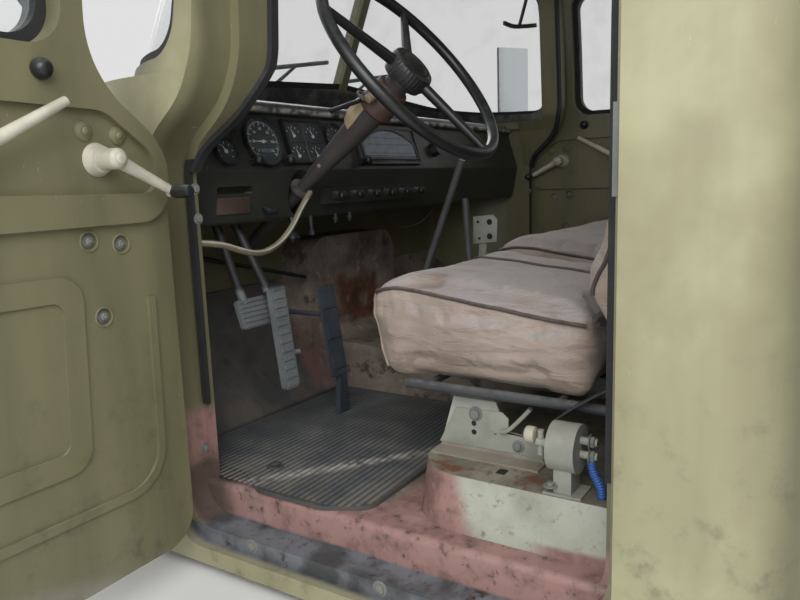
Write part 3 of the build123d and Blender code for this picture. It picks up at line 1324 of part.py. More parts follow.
left_arm = mirror_arm(1, ROUND_MIRROR, 20)
with BuildPart() as mirror_left:
    add(left_arm)
    with Locations(mirror_plane(ROUND_MIRROR, ROUND_MIRROR_TURN_DEG).location):
        Cylinder(ROUND_MIRROR_RADIUS, MIRROR_DEPTH)
mirror_left.part.label = "mirror_left"

right_arm = mirror_arm(-1, TALL_MIRROR, 16)
with BuildPart() as mirror_right:
    add(right_arm)
    with Locations(mirror_plane(TALL_MIRROR, TALL_MIRROR_TURN_DEG).location):
        Box(*TALL_MIRROR_SIZE, MIRROR_DEPTH)
mirror_right.part.label = "mirror_right"

# Cords that the cab holds all the way: battery lead, wiring loom and a thin wire under the dash
LEAD_ROUTE = (
    (SWITCH_X, DRUM_Y[1] + 16, TERMINAL_Z[0] - 7.4),
    (SWITCH_X, DRUM_Y[1] + 19, 272.0),
    (SWITCH_X, DRUM_Y[1] + 32, 255.0),
    (SWITCH_X, DRUM_Y[1] + 33, PODIUM_TOP_Z + 2 * SEAT_GAP),
)
LOOM_ROUTE = (
    (480.0, -326.2, 697.7),
    (500.0, -336.0, 668.0),
    (540.0, -335.0, 621.0),
    (590.0, -334.0, 587.0),
    (648.0, -333.0, 574.0),
    (705.0, -332.0, 588.0),
    (756.0, -334.0, 607.0),
    (802.2, -344.0, 612.0),
)
WIRE_ROUTE = (
    (100.0, -410.0, DASH_LOW[1] - 2),
    (60.0, -404.0, 606.0),
    (16.0, -402.0, 588.0),
    (-34.0, -400.0, 578.0),
    (-88.0, -400.0, 580.0),
    (-142.0, -402.0, 592.0),
    (-192.0, -406.0, 610.0),
    (-236.0, -410.0, DASH_LOW[1] - 2),
)
battery_lead = bent_tube(LEAD_ROUTE, 7.0)
battery_lead.label = "battery_lead"
wiring_loom = bent_tube(LOOM_ROUTE, 6.5)
wiring_loom.label = "wiring_loom"
thin_wire = bent_tube(WIRE_ROUTE, 2.0)
thin_wire.label = "thin_wire"

solids = [
    roof.part,
    rear_wall.part,
    firewall.part,
    windscreen_frame.part,
    windscreen_seal.part,
    windscreen_left.part,
    windscreen_right.part,
    rear_glass.part,
    rear_glass_seal.part,
    side_frame_left.part,
    side_frame_right.part,
    opening_seal_left.part,
    opening_seal_right.part,
    hinges_left.part,
    hinges_right.part,
    floor_pan.part,
    floor_mat.part,
    underfloor_beams.part,
    dash_panel.part,
    instruments.part,
    control_strip.part,
    steering_wheel.part,
    steering_column.part,
    clutch_pedal.part,
    brake_pedal.part,
    accelerator.part,
    gear_lever,
    transfer_lever,
    driver_cushion,
    passenger_cushion,
    driver_backrest,
    passenger_backrest,
    driver_seat_frame.part,
    passenger_seat_base.part,
    battery_switch.part,
    wipers.part,
    mirror_left.part,
    mirror_right.part,
    battery_lead,
    wiring_loom,
    thin_wire,
    *door_parts,
]
for solid in solids:
    export_step(solid, "parts/" + solid.label + ".step")
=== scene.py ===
import json
import math

import bmesh
import bpy
import numpy as np
from mathutils import Matrix, Vector


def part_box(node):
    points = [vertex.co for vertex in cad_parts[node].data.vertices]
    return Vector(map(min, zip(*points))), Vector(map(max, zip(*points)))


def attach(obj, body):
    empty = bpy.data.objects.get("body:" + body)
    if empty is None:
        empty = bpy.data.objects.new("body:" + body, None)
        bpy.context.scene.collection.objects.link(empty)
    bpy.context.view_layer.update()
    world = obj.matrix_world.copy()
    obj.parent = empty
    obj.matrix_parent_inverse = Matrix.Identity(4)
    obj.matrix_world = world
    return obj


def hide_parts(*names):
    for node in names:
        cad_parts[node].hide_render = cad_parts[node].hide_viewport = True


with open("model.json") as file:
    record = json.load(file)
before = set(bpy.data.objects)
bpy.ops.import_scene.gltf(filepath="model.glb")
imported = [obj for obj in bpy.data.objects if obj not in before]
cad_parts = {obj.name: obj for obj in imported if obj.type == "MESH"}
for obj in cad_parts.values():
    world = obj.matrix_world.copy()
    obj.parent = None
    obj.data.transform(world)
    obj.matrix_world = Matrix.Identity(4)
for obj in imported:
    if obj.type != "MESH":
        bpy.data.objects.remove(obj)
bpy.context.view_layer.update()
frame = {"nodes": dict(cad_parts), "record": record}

MM = 0.001

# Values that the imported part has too, in millimetres
PANEL_X = 828.0
BAND_DEPTH = 12.0
HINGE_X, HINGE_Y = 913.0, -354.0
OPEN_DEG = 88.0
WHEEL_CENTRE = np.array([455.0, -62.0, 943.0])
COLUMN_LEAN = math.radians(52.5)
MAT_TOP = 150.0
SAME_POINT = 2e-6
SHARP_EDGE = math.radians(35.0)


def show(name, data):
    """A new object with that data, in the scene."""
    obj = bpy.data.objects.new(name, data)
    bpy.context.scene.collection.objects.link(obj)
    return obj


def outward(mesh, merge=None):
    """Merges points nearer than merge, where one is given, then turns every face's normal outward."""
    tool = bmesh.new()
    tool.from_mesh(mesh)
    if merge is not None:
        bmesh.ops.remove_doubles(tool, verts=tool.verts, dist=merge)
    bmesh.ops.recalc_face_normals(tool, faces=tool.faces)
    tool.to_mesh(mesh)
    tool.free()


# ---------------------------------------------------------------- camera and cords

CAMERA_AT = (1.7454, 0.7156, 0.7193)
CAMERA_YAW = math.radians(212.71)
CAMERA_PITCH = math.radians(-9.59)
CAMERA_ROLL = math.radians(-1.97)
CAMERA_LENS = 32.2
SENSOR = 36.0


def make_camera():
    """Camera at the photograph's place: forward from yaw and pitch, then rolled about it."""
    forward = Vector(
        (
            math.cos(CAMERA_YAW) * math.cos(CAMERA_PITCH),
            math.sin(CAMERA_YAW) * math.cos(CAMERA_PITCH),
            math.sin(CAMERA_PITCH),
        )
    )
    level_right = forward.cross(Vector((0, 0, 1))).normalized()
    level_up = level_right.cross(forward)
    right = math.cos(CAMERA_ROLL) * level_right + math.sin(CAMERA_ROLL) * level_up
    up = math.cos(CAMERA_ROLL) * level_up - math.sin(CAMERA_ROLL) * level_right
    camera = show("camera", bpy.data.cameras.new("camera"))
    camera.data.lens = CAMERA_LENS
    camera.data.sensor_width = SENSOR
    camera.data.clip_start = 0.02
    turn = Matrix((right, up, -forward)).transposed().to_4x4()
    camera.matrix_world = Matrix.Translation(CAMERA_AT) @ turn
    bpy.context.scene.camera = camera


def cord_curve(name, route, radius):
    """A round cord along one open NURBS spline; the route's points, in metres, are its control points."""
    curve = bpy.data.curves.new(name, "CURVE")
    curve.dimensions = "3D"
    curve.resolution_u = 16
    curve.bevel_depth = 1.0
    curve.bevel_resolution = 6
    curve.use_fill_caps = True
    spline = curve.splines.new("NURBS")
    spline.points.add(len(route) - 1)
    for point, place in zip(spline.points, route):
        point.co = (*place, 1)
        point.radius = radius
    spline.order_u = 3
    spline.use_endpoint_u = True
    return show(name, curve)


LEAD_ROUTE = (
    (0.738, 0.4, 0.2926), (0.738, 0.403, 0.272), (0.738, 0.416, 0.255), (0.738, 0.417, 0.2356),
)
LOOM_ROUTE = (
    (0.48, -0.3262, 0.6977), (0.5, -0.336, 0.668), (0.54, -0.335, 0.621), (0.59, -0.334, 0.587),
    (0.648, -0.333, 0.574), (0.705, -0.332, 0.588), (0.756, -0.334, 0.607), (0.8022, -0.344, 0.612),
)
WIRE_ROUTE = (
    (0.1, -0.41, 0.634), (0.06, -0.404, 0.606), (0.016, -0.402, 0.588), (-0.034, -0.4, 0.578),
    (-0.088, -0.4, 0.58), (-0.142, -0.402, 0.592), (-0.192, -0.406, 0.61), (-0.236, -0.41, 0.634),
)

TUBE_STEPS, TUBE_SIDES = 96, 24
TUBE_INSET = 0.001

make_camera()
battery_lead = cord_curve("battery_lead_core", LEAD_ROUTE, 0.005)
wiring_loom = cord_curve("wiring_loom_sheath", LOOM_ROUTE, 0.0065)
thin_wire = cord_curve("thin_wire_under_dash", WIRE_ROUTE, 0.002)


def along_cord(name, cord, radius, depth=0.0, pitch=1.0, aside=(0.0, 0.0, 0.0)):
    """A tube on a cord's own line, of radius + depth * wave(distance / pitch).

    With aside it lies beside the line: aside * (0.6 + 0.4 * wave), so it comes closer at both ends.
    """
    bevel, cord.data.bevel_depth = cord.data.bevel_depth, 0
    line = bpy.data.meshes.new_from_object(cord)
    cord.data.bevel_depth = bevel
    place = np.array([v.co for v in line.vertices])
    bpy.data.meshes.remove(line)
    gone = np.concatenate([[0], np.cumsum(np.linalg.norm(np.diff(place, axis=0), axis=1))])
    steps = np.linspace(TUBE_INSET, gone[-1] - TUBE_INSET, TUBE_STEPS)
    path = np.stack([np.interp(steps, gone, place[:, k]) for k in range(3)], -1)
    path = path + np.array(aside) * (0.6 + 0.4 * np.sin(math.pi * steps / gone[-1]))[:, None]
    travel = np.gradient(path, axis=0)
    travel /= np.linalg.norm(travel, axis=1, keepdims=True)
    side = np.cross(travel, (0.0, 1.0, 0.0))
    side /= np.linalg.norm(side, axis=1, keepdims=True)
    rise = np.cross(side, travel)
    angle = 2 * math.pi * np.arange(TUBE_SIDES) / TUBE_SIDES
    size = radius + depth * np.cos(2 * math.pi * steps / pitch)
    grid = path[:, None] + size[:, None, None] * (
        np.cos(angle)[None, :, None] * side[:, None] + np.sin(angle)[None, :, None] * rise[:, None]
    )
    index = np.arange(TUBE_STEPS * TUBE_SIDES).reshape(TUBE_STEPS, TUBE_SIDES)
    near, far = index[:-1], index[1:]
    quads = np.stack([near, np.roll(near, -1, 1), np.roll(far, -1, 1), far], -1).reshape(-1, 4)
    ends = [index[0][::-1].tolist(), index[-1].tolist()]
    mesh = bpy.data.meshes.new(name)
    mesh.from_pydata(grid.reshape(-1, 3).tolist(), [], quads.tolist() + ends)
    outward(mesh)
    mesh.polygons.foreach_set("use_smooth", [True] * len(mesh.polygons))
    tube = show(name, mesh)
    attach(tube, "cab")
    return tube


lead_sleeve = along_cord("battery_lead_sleeve", battery_lead, 0.0067, 0.0006, 0.004)
thin_strand = along_cord(
    "wiring_loom_thin_strand", wiring_loom, 0.0022, aside=(0.0, 0.0068, 0.0034)
)
for cord, node, route, length, diameter, stiffness, carried_pieces in (
    (battery_lead, "battery_lead", LEAD_ROUTE, 0.0602, 0.010, "stiff", [lead_sleeve]),
    (wiring_loom, "wiring_loom", LOOM_ROUTE, 0.3762, 0.013, "medium", [thin_strand]),
    (thin_wire, "thin_wire", WIRE_ROUTE, 0.3597, 0.004, "medium", []),
):
    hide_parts(node)
    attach(cord, "cab")

# ---------------------------------------------------------------- finishes


def ink(red, green, blue):
    """A colour written as screen values from 0 to 255, in the linear values that a shader takes."""
    screen = np.array((red, green, blue), float) / 255
    linear = np.where(screen <= 0.04045, screen / 12.92, ((screen + 0.055) / 1.055) ** 2.4)
    return (*linear.tolist(), 1.0)


class Reading:
    """A number that changes over a surface. Its operators add the Math nodes that work it out."""

    def __init__(self, finish, socket):
        self.finish, self.socket = finish, socket

    def math(self, operation, *others):
        values = dict(enumerate((self, *others)))
        return self.finish.node("ShaderNodeMath", {"operation": operation}, values)

    def swapped(self, operation, first):
        return self.finish.node("ShaderNodeMath", {"operation": operation}, {0: first, 1: self})

    def __add__(self, other):
        return self.math("ADD", other)

    __radd__ = __add__

    def __mul__(self, other):
        return self.math("MULTIPLY", other)

    __rmul__ = __mul__

    def __sub__(self, other):
        return self.math("SUBTRACT", other)

    def __rsub__(self, other):
        return self.swapped("SUBTRACT", other)

    def wave(self):
        return self.math("SINE")

    def size(self):
        return self.math("ABSOLUTE")

    def most(self, other):
        return self.math("MAXIMUM", other)

    def ramp(self, low, high):
        """0 below low and 1 above high, with a smooth step between them; low above high turns it round."""
        ends = {0: self, 1: low, 2: high, 3: 0.0, 4: 1.0}
        smooth = {"interpolation_type": "SMOOTHSTEP", "clamp": True}
        return self.finish.node("ShaderNodeMapRange", smooth, ends)


class Finish:
    """One finish of the cab: its nodes, and the shader whose sockets they feed."""

    def __init__(self, name, **constants):
        self.material = bpy.data.materials.new(name)
        self.material.use_nodes = True
        self.tree = self.material.node_tree
        self.shader = self.tree.nodes["Principled BSDF"]
        for socket, value in constants.items():
            self.shader.inputs[socket.replace("_", " ")].default_value = value
        self.place = self.node("ShaderNodeTexCoord", output="Object")

    def node(self, kind, settings=None, inputs=None, output=0):
        """Adds a node: its settings first, a ramp's stops among them, then its sockets' values or links."""
        made = self.tree.nodes.new(kind)
        for setting, value in (settings or {}).items():
            if setting == "stops":
                for stop, (position, colour) in zip(made.color_ramp.elements, value):
                    stop.position, stop.color = position, colour
            else:
                setattr(made, setting, value)
        for key, value in (inputs or {}).items():
            socket = made.inputs[key]
            if isinstance(value, Reading):
                value = value.socket
            if isinstance(value, bpy.types.NodeSocket):
                self.tree.links.new(value, socket)
            else:
                socket.default_value = value
        given = made.outputs[output]
        return Reading(self, given) if given.type == "VALUE" else given

    def feed(self, socket, value):
        self.tree.links.new(getattr(value, "socket", value), self.shader.inputs[socket])

    def axes(self, vector=None):
        """The x, y and z of a vector, of the object's own place if none is given, in metres."""
        split = {0: vector or self.place}
        return [self.node("ShaderNodeSeparateXYZ", None, split, axis) for axis in ("X", "Y", "Z")]

    def turned(self, scale=(1, 1, 1), rotation=(0, 0, 0), location=(0, 0, 0), vector=None):
        values = {"Vector": vector or self.place, "Scale": scale}
        values.update({"Rotation": rotation, "Location": location})
        return self.node("ShaderNodeMapping", None, values)

    def cloud(self, scale, detail=3.0, rough=0.55, vector=None, warp=0.0):
        """Cloudy noise about 0.5."""
        values = {"Vector": vector or self.place, "Scale": scale, "Detail": detail}
        values.update({"Roughness": rough, "Distortion": warp})
        return self.node("ShaderNodeTexNoise", {"noise_dimensions": "3D"}, values, "Fac")

    def cracks(self, scale):
        """Distance to the edges between scattered cells, 0 on an edge."""
        values = {"Vector": self.place, "Scale": scale}
        return self.node("ShaderNodeTexVoronoi", {"feature": "DISTANCE_TO_EDGE"}, values, "Distance")

    def blend(self, share, under, over):
        """The colour over laid on the colour under, by share."""
        values = {0: share, 6: under, 7: over}
        return self.node("ShaderNodeMix", {"data_type": "RGBA", "clamp_factor": True}, values, 2)

    def mottle(self, under, over, noise, step):
        """Two colours mixed by cloudy noise that is stepped between step's two ends."""
        return self.blend(self.cloud(*noise).ramp(*step), under, over)

    def up(self):
        """How far the surface looks up, from -1 to 1."""
        normal = self.node("ShaderNodeTexCoord", output="Normal")
        return self.axes(normal)[2]

    def relief(self, height, depth, strength=1.0):
        """Bump of that height map, in metres, on the shader's normal."""
        values = {"Height": height, "Distance": depth, "Strength": strength}
        bump = self.node("ShaderNodeBump", None, values)
        self.feed("Normal", bump)


def aged(finish, colour, dust, dust_and_highlight_share=0.5, wear=None, wear_share=0.0, scale=9.0):
    """A coat blotched by age, paler where it looks up, chipped to the colour wear at scattered spots; that
    paler top colour is dust, and on the steering column a painted highlight.
    """
    blotch = finish.cloud(scale, 5)
    tone = finish.blend(blotch.ramp(0.35, 0.7), colour, tuple(0.72 * c for c in colour[:3]) + (1,))
    on_top = finish.up().ramp(0.25, 0.95) * finish.cloud(3.5 * scale, 4).ramp(0.2, 0.75)
    tone = finish.blend(on_top * dust_and_highlight_share, tone, dust)
    if wear is not None:
        chips = finish.cloud(14 * scale, 4, 0.7).ramp(0.66, 0.72) * finish.cloud(scale, 2).ramp(0.4, 0.6)
        tone = finish.blend(chips * wear_share, tone, wear)
    return tone


OLIVE = ink(116, 113, 86)
# the same olive paint lightened: painted sunlight on the outer skin
OLIVE_PAINTED_SUNLIT = ink(152, 149, 119)
OLIVE_DARK = ink(92, 91, 66)
DUST = ink(150, 143, 128)
DIRT = ink(72, 68, 60)
PRIMER = ink(156, 122, 116)
PRIMER_DARK = ink(120, 94, 88)
RUST = ink(110, 66, 44)
BARE = ink(150, 152, 150)


def door_place(finish, side):
    """The place on a door as if it were the driver's door, closed: the driver's own is turned back."""
    if side > 0:
        about = finish.turned(location=(-HINGE_X * MM, -HINGE_Y * MM, 0))
        shut = finish.turned(rotation=(0, 0, math.radians(OPEN_DEG)), vector=about)
        return finish.turned(location=(HINGE_X * MM, HINGE_Y * MM, 0), vector=shut)
    return finish.turned(scale=(-1, 1, 1))


def olive_coat(name, door_side=0):
    """Semi-gloss olive, streaked and scratched: one paint, darker and greener inside as painted shade,
    lighter outside as painted sunlight.
    """
    f = Finish(name, Coat_Weight=0.0)
    place = door_place(f, door_side) if door_side else f.place
    x, y, z = f.axes(place)
    if door_side:
        outside = x.size().ramp(0.868, 0.893)
    else:
        outside = x.size().ramp(0.86, 0.9).most(z.ramp(1.41, 1.44))
    long = f.turned(scale=(7, 7, 1.2), vector=place)
    streaks = f.cloud(1.0, 4, vector=long)
    tone = f.blend(streaks.ramp(0.3, 0.75), OLIVE, OLIVE_DARK)
    # the outer skin and the roof: the same paint lighter, with paler patches, as painted sunlight and
    # painted highlight
    painted_sunlit = f.blend(streaks.ramp(0.35, 0.7), OLIVE_PAINTED_SUNLIT, ink(134, 130, 101))
    painted_sunlit = f.blend(f.cloud(4.0, 5, vector=place).ramp(0.52, 0.72) * 0.45, painted_sunlit, ink(176, 174, 140))
    tone = f.blend(outside, tone, painted_sunlit)
    grime = f.cloud(22, 6, 0.65, vector=place).ramp(0.5, 0.8) * z.ramp(0.75, 0.1) * 0.7
    tone = f.blend(grime, tone, DIRT)
    on_top = f.up().ramp(0.3, 0.9) * f.cloud(30, 4).ramp(0.25, 0.7) * 0.55
    tone = f.blend(on_top, tone, DUST)
    fine = f.turned(scale=(60, 240, 60), rotation=(0.7, 0, 0), vector=place)
    scratch = f.cloud(1.0, 2, vector=fine).ramp(0.71, 0.74) * f.cloud(9, 2, vector=place).ramp(0.5, 0.62)
    tone = f.blend(scratch * 0.5, tone, ink(176, 172, 140))
    chips = f.cloud(95, 4, 0.7, vector=place).ramp(0.71, 0.75) * z.ramp(0.6, 0.12)
    tone = f.blend(chips * 0.8, tone, RUST)
    if door_side:
        foot = (z - 0.27 * y).ramp(0.16, 0.12) * x.ramp(0.87, 0.85)
        tone = f.blend(foot * f.cloud(12, 4, vector=place).ramp(0.2, 0.6) * 0.8, tone, ink(128, 128, 118))
    f.feed("Base Color", tone)
    f.feed("Roughness", 0.3 + 0.3 * streaks + 0.25 * grime + 0.2 * on_top)
    wavy = f.cloud(2.2, 2, vector=place) * 6 + f.cloud(260, 2, vector=place) * 0.12
    f.relief(wavy, 0.0012, 0.5)
    return f


def frame_coat(name):
    """The side frame: olive, a pink primer sill and pillar foot, and a dirty ledge below them."""
    f = olive_coat(name)
    under = f.shader.inputs["Base Color"].links[0].from_socket
    x, y, z = f.axes()
    edge = f.cloud(9, 5)
    opening = y.ramp(0.5, 0.48) * y.ramp(-0.42, -0.4)
    inner = x.size().ramp(0.885, 0.86) * opening
    sill = (z + 0.05 * edge).ramp(0.235, 0.205) * inner
    post = (y + 0.09 * edge).ramp(-0.255, -0.295) * (z + 0.12 * edge).ramp(0.39, 0.33) * inner
    primer = f.mottle(PRIMER, PRIMER_DARK, (24, 6, 0.65), (0.42, 0.7))
    primer = f.blend(f.cloud(5, 4).ramp(0.5, 0.72) * 0.7, primer, ink(188, 168, 164))
    tone = f.blend(sill.most(post), under, primer)
    foot = (y + 0.05 * edge).ramp(-0.235, -0.29) * (z + 0.05 * edge).ramp(0.235, 0.2) * inner
    tone = f.blend(foot * 0.85, tone, ink(84, 74, 66))
    grey = f.mottle(ink(70, 72, 74), ink(112, 116, 122), (11, 5), (0.4, 0.62))
    grey = f.blend(f.cloud(30, 5, 0.7).ramp(0.55, 0.7), grey, ink(58, 50, 44))
    ledge = (z + 0.012 * edge).ramp(0.092, 0.084) * x.size().ramp(0.895, 0.88) * opening
    tone = f.blend(ledge, tone, grey)
    spots = f.cloud(48, 5, 0.7).ramp(0.58, 0.66) * sill
    tone = f.blend(spots * 0.8, tone, ink(80, 66, 58))
    f.feed("Base Color", tone)
    return f


def floor_coat(name):
    """The floor: greasy brown tunnel and toe board, and a podium in primer, pale grey-green and dust."""
    f = Finish(name)
    x, y, z = f.axes()
    edge = f.cloud(10, 5)
    greasy = f.mottle(ink(136, 124, 112), ink(86, 78, 72), (7, 6, 0.6), (0.35, 0.7))
    greasy = f.blend(f.cloud(26, 5, 0.65).ramp(0.55, 0.75) * 0.8, greasy, ink(160, 148, 134))
    greasy = f.blend(f.cloud(17, 5, 0.7).ramp(0.55, 0.66) * 0.8, greasy, ink(52, 48, 46))
    rusty_face = y.ramp(-0.53, -0.545) * (x + 0.16 * edge).ramp(0.2, 0.13) * x.ramp(-0.12, -0.09)
    rusty_face = rusty_face * (z + 0.22 * edge).ramp(0.57, 0.5) * (z - 0.1 * edge).ramp(0.2, 0.26)
    rusty_face = rusty_face * f.cloud(19, 5).ramp(0.3, 0.5)
    greasy = f.blend(rusty_face, greasy, f.mottle(ink(104, 66, 52), ink(72, 48, 40), (30, 5), (0.4, 0.65)))
    toe = y.ramp(-0.47, -0.51) * (x + 0.05 * edge).ramp(0.25, 0.3)
    greasy = f.blend(toe * 0.85, greasy, f.mottle(ink(58, 62, 66), ink(88, 84, 78), (9, 5), (0.4, 0.7)))
    pink = toe.most(y.ramp(-0.49, -0.51)) * (x + 0.06 * edge).ramp(0.33, 0.3)
    pink = pink * x.ramp(0.18, 0.2) * z.ramp(0.34, 0.31)
    greasy = f.blend(pink * f.cloud(21, 4).ramp(0.35, 0.6) * 0.8, greasy, ink(128, 98, 92))
    primer = f.mottle(PRIMER, PRIMER_DARK, (22, 6, 0.65), (0.4, 0.7))
    pale = f.mottle(ink(170, 174, 160), ink(136, 138, 122), (8, 5), (0.4, 0.7))
    reach = y + 0.07 * edge + 0.35 * (z - 0.19)
    riser = f.blend(reach.ramp(0.205, 0.25), primer, pale)
    riser = f.blend((z + 0.02 * edge).ramp(0.176, 0.164) * y.ramp(0.3, 0.36), riser, primer)
    top = f.mottle(ink(142, 138, 122), ink(104, 96, 84), (13, 6, 0.65), (0.35, 0.7))
    rusty = f.cloud(18, 5, 0.7).ramp(0.52, 0.62) * (x - 0.5 * (y - 0.32)).ramp(0.69, 0.73)
    top = f.blend(rusty * 0.85, top, RUST)
    podium = f.blend(f.up().ramp(0.5, 0.9) * z.ramp(0.19, 0.21), riser, top)
    grime = f.cloud(60, 5, 0.7).ramp(0.55, 0.7) * 0.6
    podium = f.blend(grime, podium, ink(88, 78, 68))
    seated = y.ramp(0.02, 0.05) * x.ramp(0.19, 0.2)
    sill_side = x.ramp(0.735, 0.75) * z.ramp(0.2, 0.16)
    tone = f.blend(seated.most(sill_side), greasy, podium)
    f.feed("Base Color", tone)
    f.feed("Roughness", 0.45 + 0.35 * f.cloud(14, 4))
    f.relief(f.cloud(55, 5, 0.65), 0.0015, 0.6)
    return f


def dash_coat(name):
    """Dark olive dash, dusty on top, with a painted highlight along its lip."""
    f = Finish(name)
    x, y, z = f.axes()
    tone = aged(f, ink(54, 57, 52), ink(140, 146, 148), 0.8, ink(150, 148, 130), 0.5, 10)
    # a pale band along the dash's rounded lip is painted highlight
    painted_lip_highlight = z.ramp(0.872, 0.879) * z.ramp(0.889, 0.884) * f.cloud(30, 4).ramp(0.35, 0.6)
    tone = f.blend(painted_lip_highlight * 0.85, tone, ink(196, 196, 184))
    f.feed("Base Color", tone)
    f.feed("Roughness", 0.22 + 0.3 * f.cloud(9, 4))
    f.relief(f.cloud(240, 3), 0.0004, 0.6)
    return f


def steel_coat(name, colour=ink(56, 58, 61), worn=BARE, worn_share=0.7, dust=ink(120, 118, 112), dusty=0.6):
    """Painted or bare steel: chipped to metal, paler on top, with specks of rust; the top colour is dust,
    and on the steering column a painted highlight.
    """
    f = Finish(name)
    tone = aged(f, colour, dust, dusty, worn, worn_share, 14)
    rust = f.cloud(38, 5, 0.7).ramp(0.64, 0.72)
    tone = f.blend(rust * 0.7, tone, RUST)
    f.feed("Base Color", tone)
    f.feed("Roughness", 0.35 + 0.4 * f.cloud(20, 4))
    f.relief(f.cloud(150, 4), 0.0005, 0.6)
    return f


def rubber_coat(name, colour=ink(38, 39, 42), dust=ink(112, 112, 110)):
    """Old rubber: matt, dusty and finely cracked."""
    f = Finish(name)
    f.feed("Base Color", aged(f, colour, dust, 0.5, dust, 0.35, 12))
    f.feed("Roughness", 0.6 + 0.3 * f.cloud(30, 3))
    f.relief(f.cracks(180).ramp(0.0, 0.12), 0.0004, 0.5)
    return f


def mat_coat(name):
    """Ribbed mat: dark grey rubber under dust, with a paler strip of painted sunlight across it and painted
    shade towards its front.
    """
    f = Finish(name)
    x, y, z = f.axes()
    tone = f.mottle(ink(86, 89, 92), ink(118, 117, 113), (9, 6, 0.6), (0.35, 0.68))
    # a strip of painted sunlight across the ribs
    across = (y + 0.229 + 0.78 * (x - 0.784)).size() + 0.02 * f.cloud(12, 4)
    painted_sun_strip = across.ramp(0.045, 0.012) * f.cloud(40, 5).ramp(0.3, 0.6) * 0.85
    tone = f.blend(painted_sun_strip, tone, ink(186, 182, 172))
    sides = (x - 0.72).ramp(0.0, 0.09).most(y.ramp(-0.06, 0.01)) * f.cloud(26, 5).ramp(0.35, 0.65)
    tone = f.blend(sides * 0.5, tone, ink(128, 118, 106))
    # darker towards the front, under the dash: painted shade
    tone = f.blend(y.ramp(-0.32, -0.47) * 0.5, tone, ink(56, 60, 66))
    tone = f.blend(z.ramp(0.1512, 0.1498) * 0.6, tone, ink(38, 40, 42))
    f.feed("Base Color", tone)
    f.feed("Roughness", 0.5 + 0.35 * f.cloud(18, 4))
    f.relief(f.cloud(200, 4), 0.0005, 0.6)
    return f


def plastic_coat(name, colour, shine=0.3, dust=ink(120, 124, 126), dusty=0.35):
    """Moulded plastic: a fine grain under handling marks and dust."""
    f = Finish(name)
    f.feed("Base Color", aged(f, colour, dust, dusty, dust, 0.3, 18))
    f.feed("Roughness", shine + 0.25 * f.cloud(24, 4))
    f.relief(f.cloud(420, 2), 0.0002, 0.5)
    return f


def seat_coat(name):
    """Brown artificial leather: a fine pebbled grain, creases, paler and greyer where it is sat on."""
    f = Finish(name, Sheen_Weight=0.15, Sheen_Roughness=0.5)
    x, y, z = f.axes()
    tone = f.mottle(ink(162, 147, 136), ink(134, 119, 108), (6, 6, 0.6), (0.35, 0.7))
    worn = f.up().ramp(0.3, 0.8) * f.cloud(10, 4).ramp(0.2, 0.6)
    tone = f.blend(worn * 0.75, tone, ink(162, 156, 158))
    crease = f.cloud(1.0, 5, 0.6, f.turned(scale=(9, 9, 46)), 0.8)
    tone = f.blend(crease.ramp(0.56, 0.66) * 0.45, tone, ink(112, 96, 86))
    threads = (x * 2050 + 0.5 * z * 2050).wave() * (z * 2050 - 0.5 * y * 2050).wave()
    tone = f.blend(threads.ramp(0.1, 0.8) * 0.16, tone, ink(84, 72, 66))
    f.feed("Base Color", tone)
    f.feed("Roughness", 0.42 + 0.3 * f.cloud(16, 4))
    f.relief(crease.ramp(0.42, 0.66) * 1.0 + threads * 0.08 + f.cloud(60, 4) * 0.5, 0.0022, 0.65)
    return f


def glass_pane(name, tint, alpha):
    """A clear pane, dusty in patches."""
    f = Finish(name, IOR=1.45, Roughness=0.04)
    f.shader.inputs["Base Color"].default_value = tint
    f.feed("Alpha", alpha + 0.6 * alpha * f.cloud(7, 5).ramp(0.45, 0.75))
    return f


def plain_coat(name, colour, roughness, metallic=0.0, grain=300.0):
    """One colour with a light mottle and fine grain, for small pieces."""
    f = Finish(name, Metallic=metallic)
    darker = tuple(0.7 * c for c in colour[:3]) + (1,)
    f.feed("Base Color", f.mottle(colour, darker, (40, 4), (0.4, 0.7)))
    f.feed("Roughness", roughness + 0.2 * f.cloud(grain / 4, 3))
    f.relief(f.cloud(grain, 2), 0.0002, 0.4)
    return f


def seat_frame_coat(name):
    """The seat's frame: dark worn tubes on grey-green brackets, rusty round their feet."""
    f = steel_coat(name, ink(62, 64, 68), ink(170, 170, 166), 0.8)
    tubes = f.shader.inputs["Base Color"].links[0].from_socket
    x, y, z = f.axes()
    plate = aged(f, ink(166, 170, 160), ink(182, 178, 166), 0.6, ink(104, 90, 76), 0.7, 12)
    plate = f.blend((z + 0.02 * f.cloud(20, 5)).ramp(0.262, 0.25) * 0.7, plate, ink(128, 112, 98))
    f.feed("Base Color", f.blend(z.ramp(0.336, 0.332), tubes, plate))
    return f


def pedal_coat(name):
    """A pedal: rubbed bright metal on its pad, dark greasy steel on the arm above it."""
    f = steel_coat(name, ink(112, 116, 118), ink(180, 182, 180), 0.8, ink(146, 148, 148), 0.5)
    pad = f.shader.inputs["Base Color"].links[0].from_socket
    z = f.axes()[2]
    f.feed("Base Color", f.blend(z.ramp(0.485, 0.5), pad, ink(40, 40, 40)))
    return f


def mirror_coat(name, facing):
    """A mirror: black housing, and silvered glass where the surface looks back along its facing."""
    f = steel_coat(name, ink(36, 37, 39))
    housing = f.shader.inputs["Base Color"].links[0].from_socket
    normal = f.node("ShaderNodeTexCoord", output="Normal")
    across, along_y, _ = f.axes(normal)
    glass = (across * facing[0] + along_y * facing[1]).ramp(0.97, 0.985)
    f.feed("Base Color", f.blend(glass, housing, ink(206, 212, 214)))
    f.feed("Metallic", glass)
    f.feed("Roughness", 0.5 - 0.42 * glass)
    return f


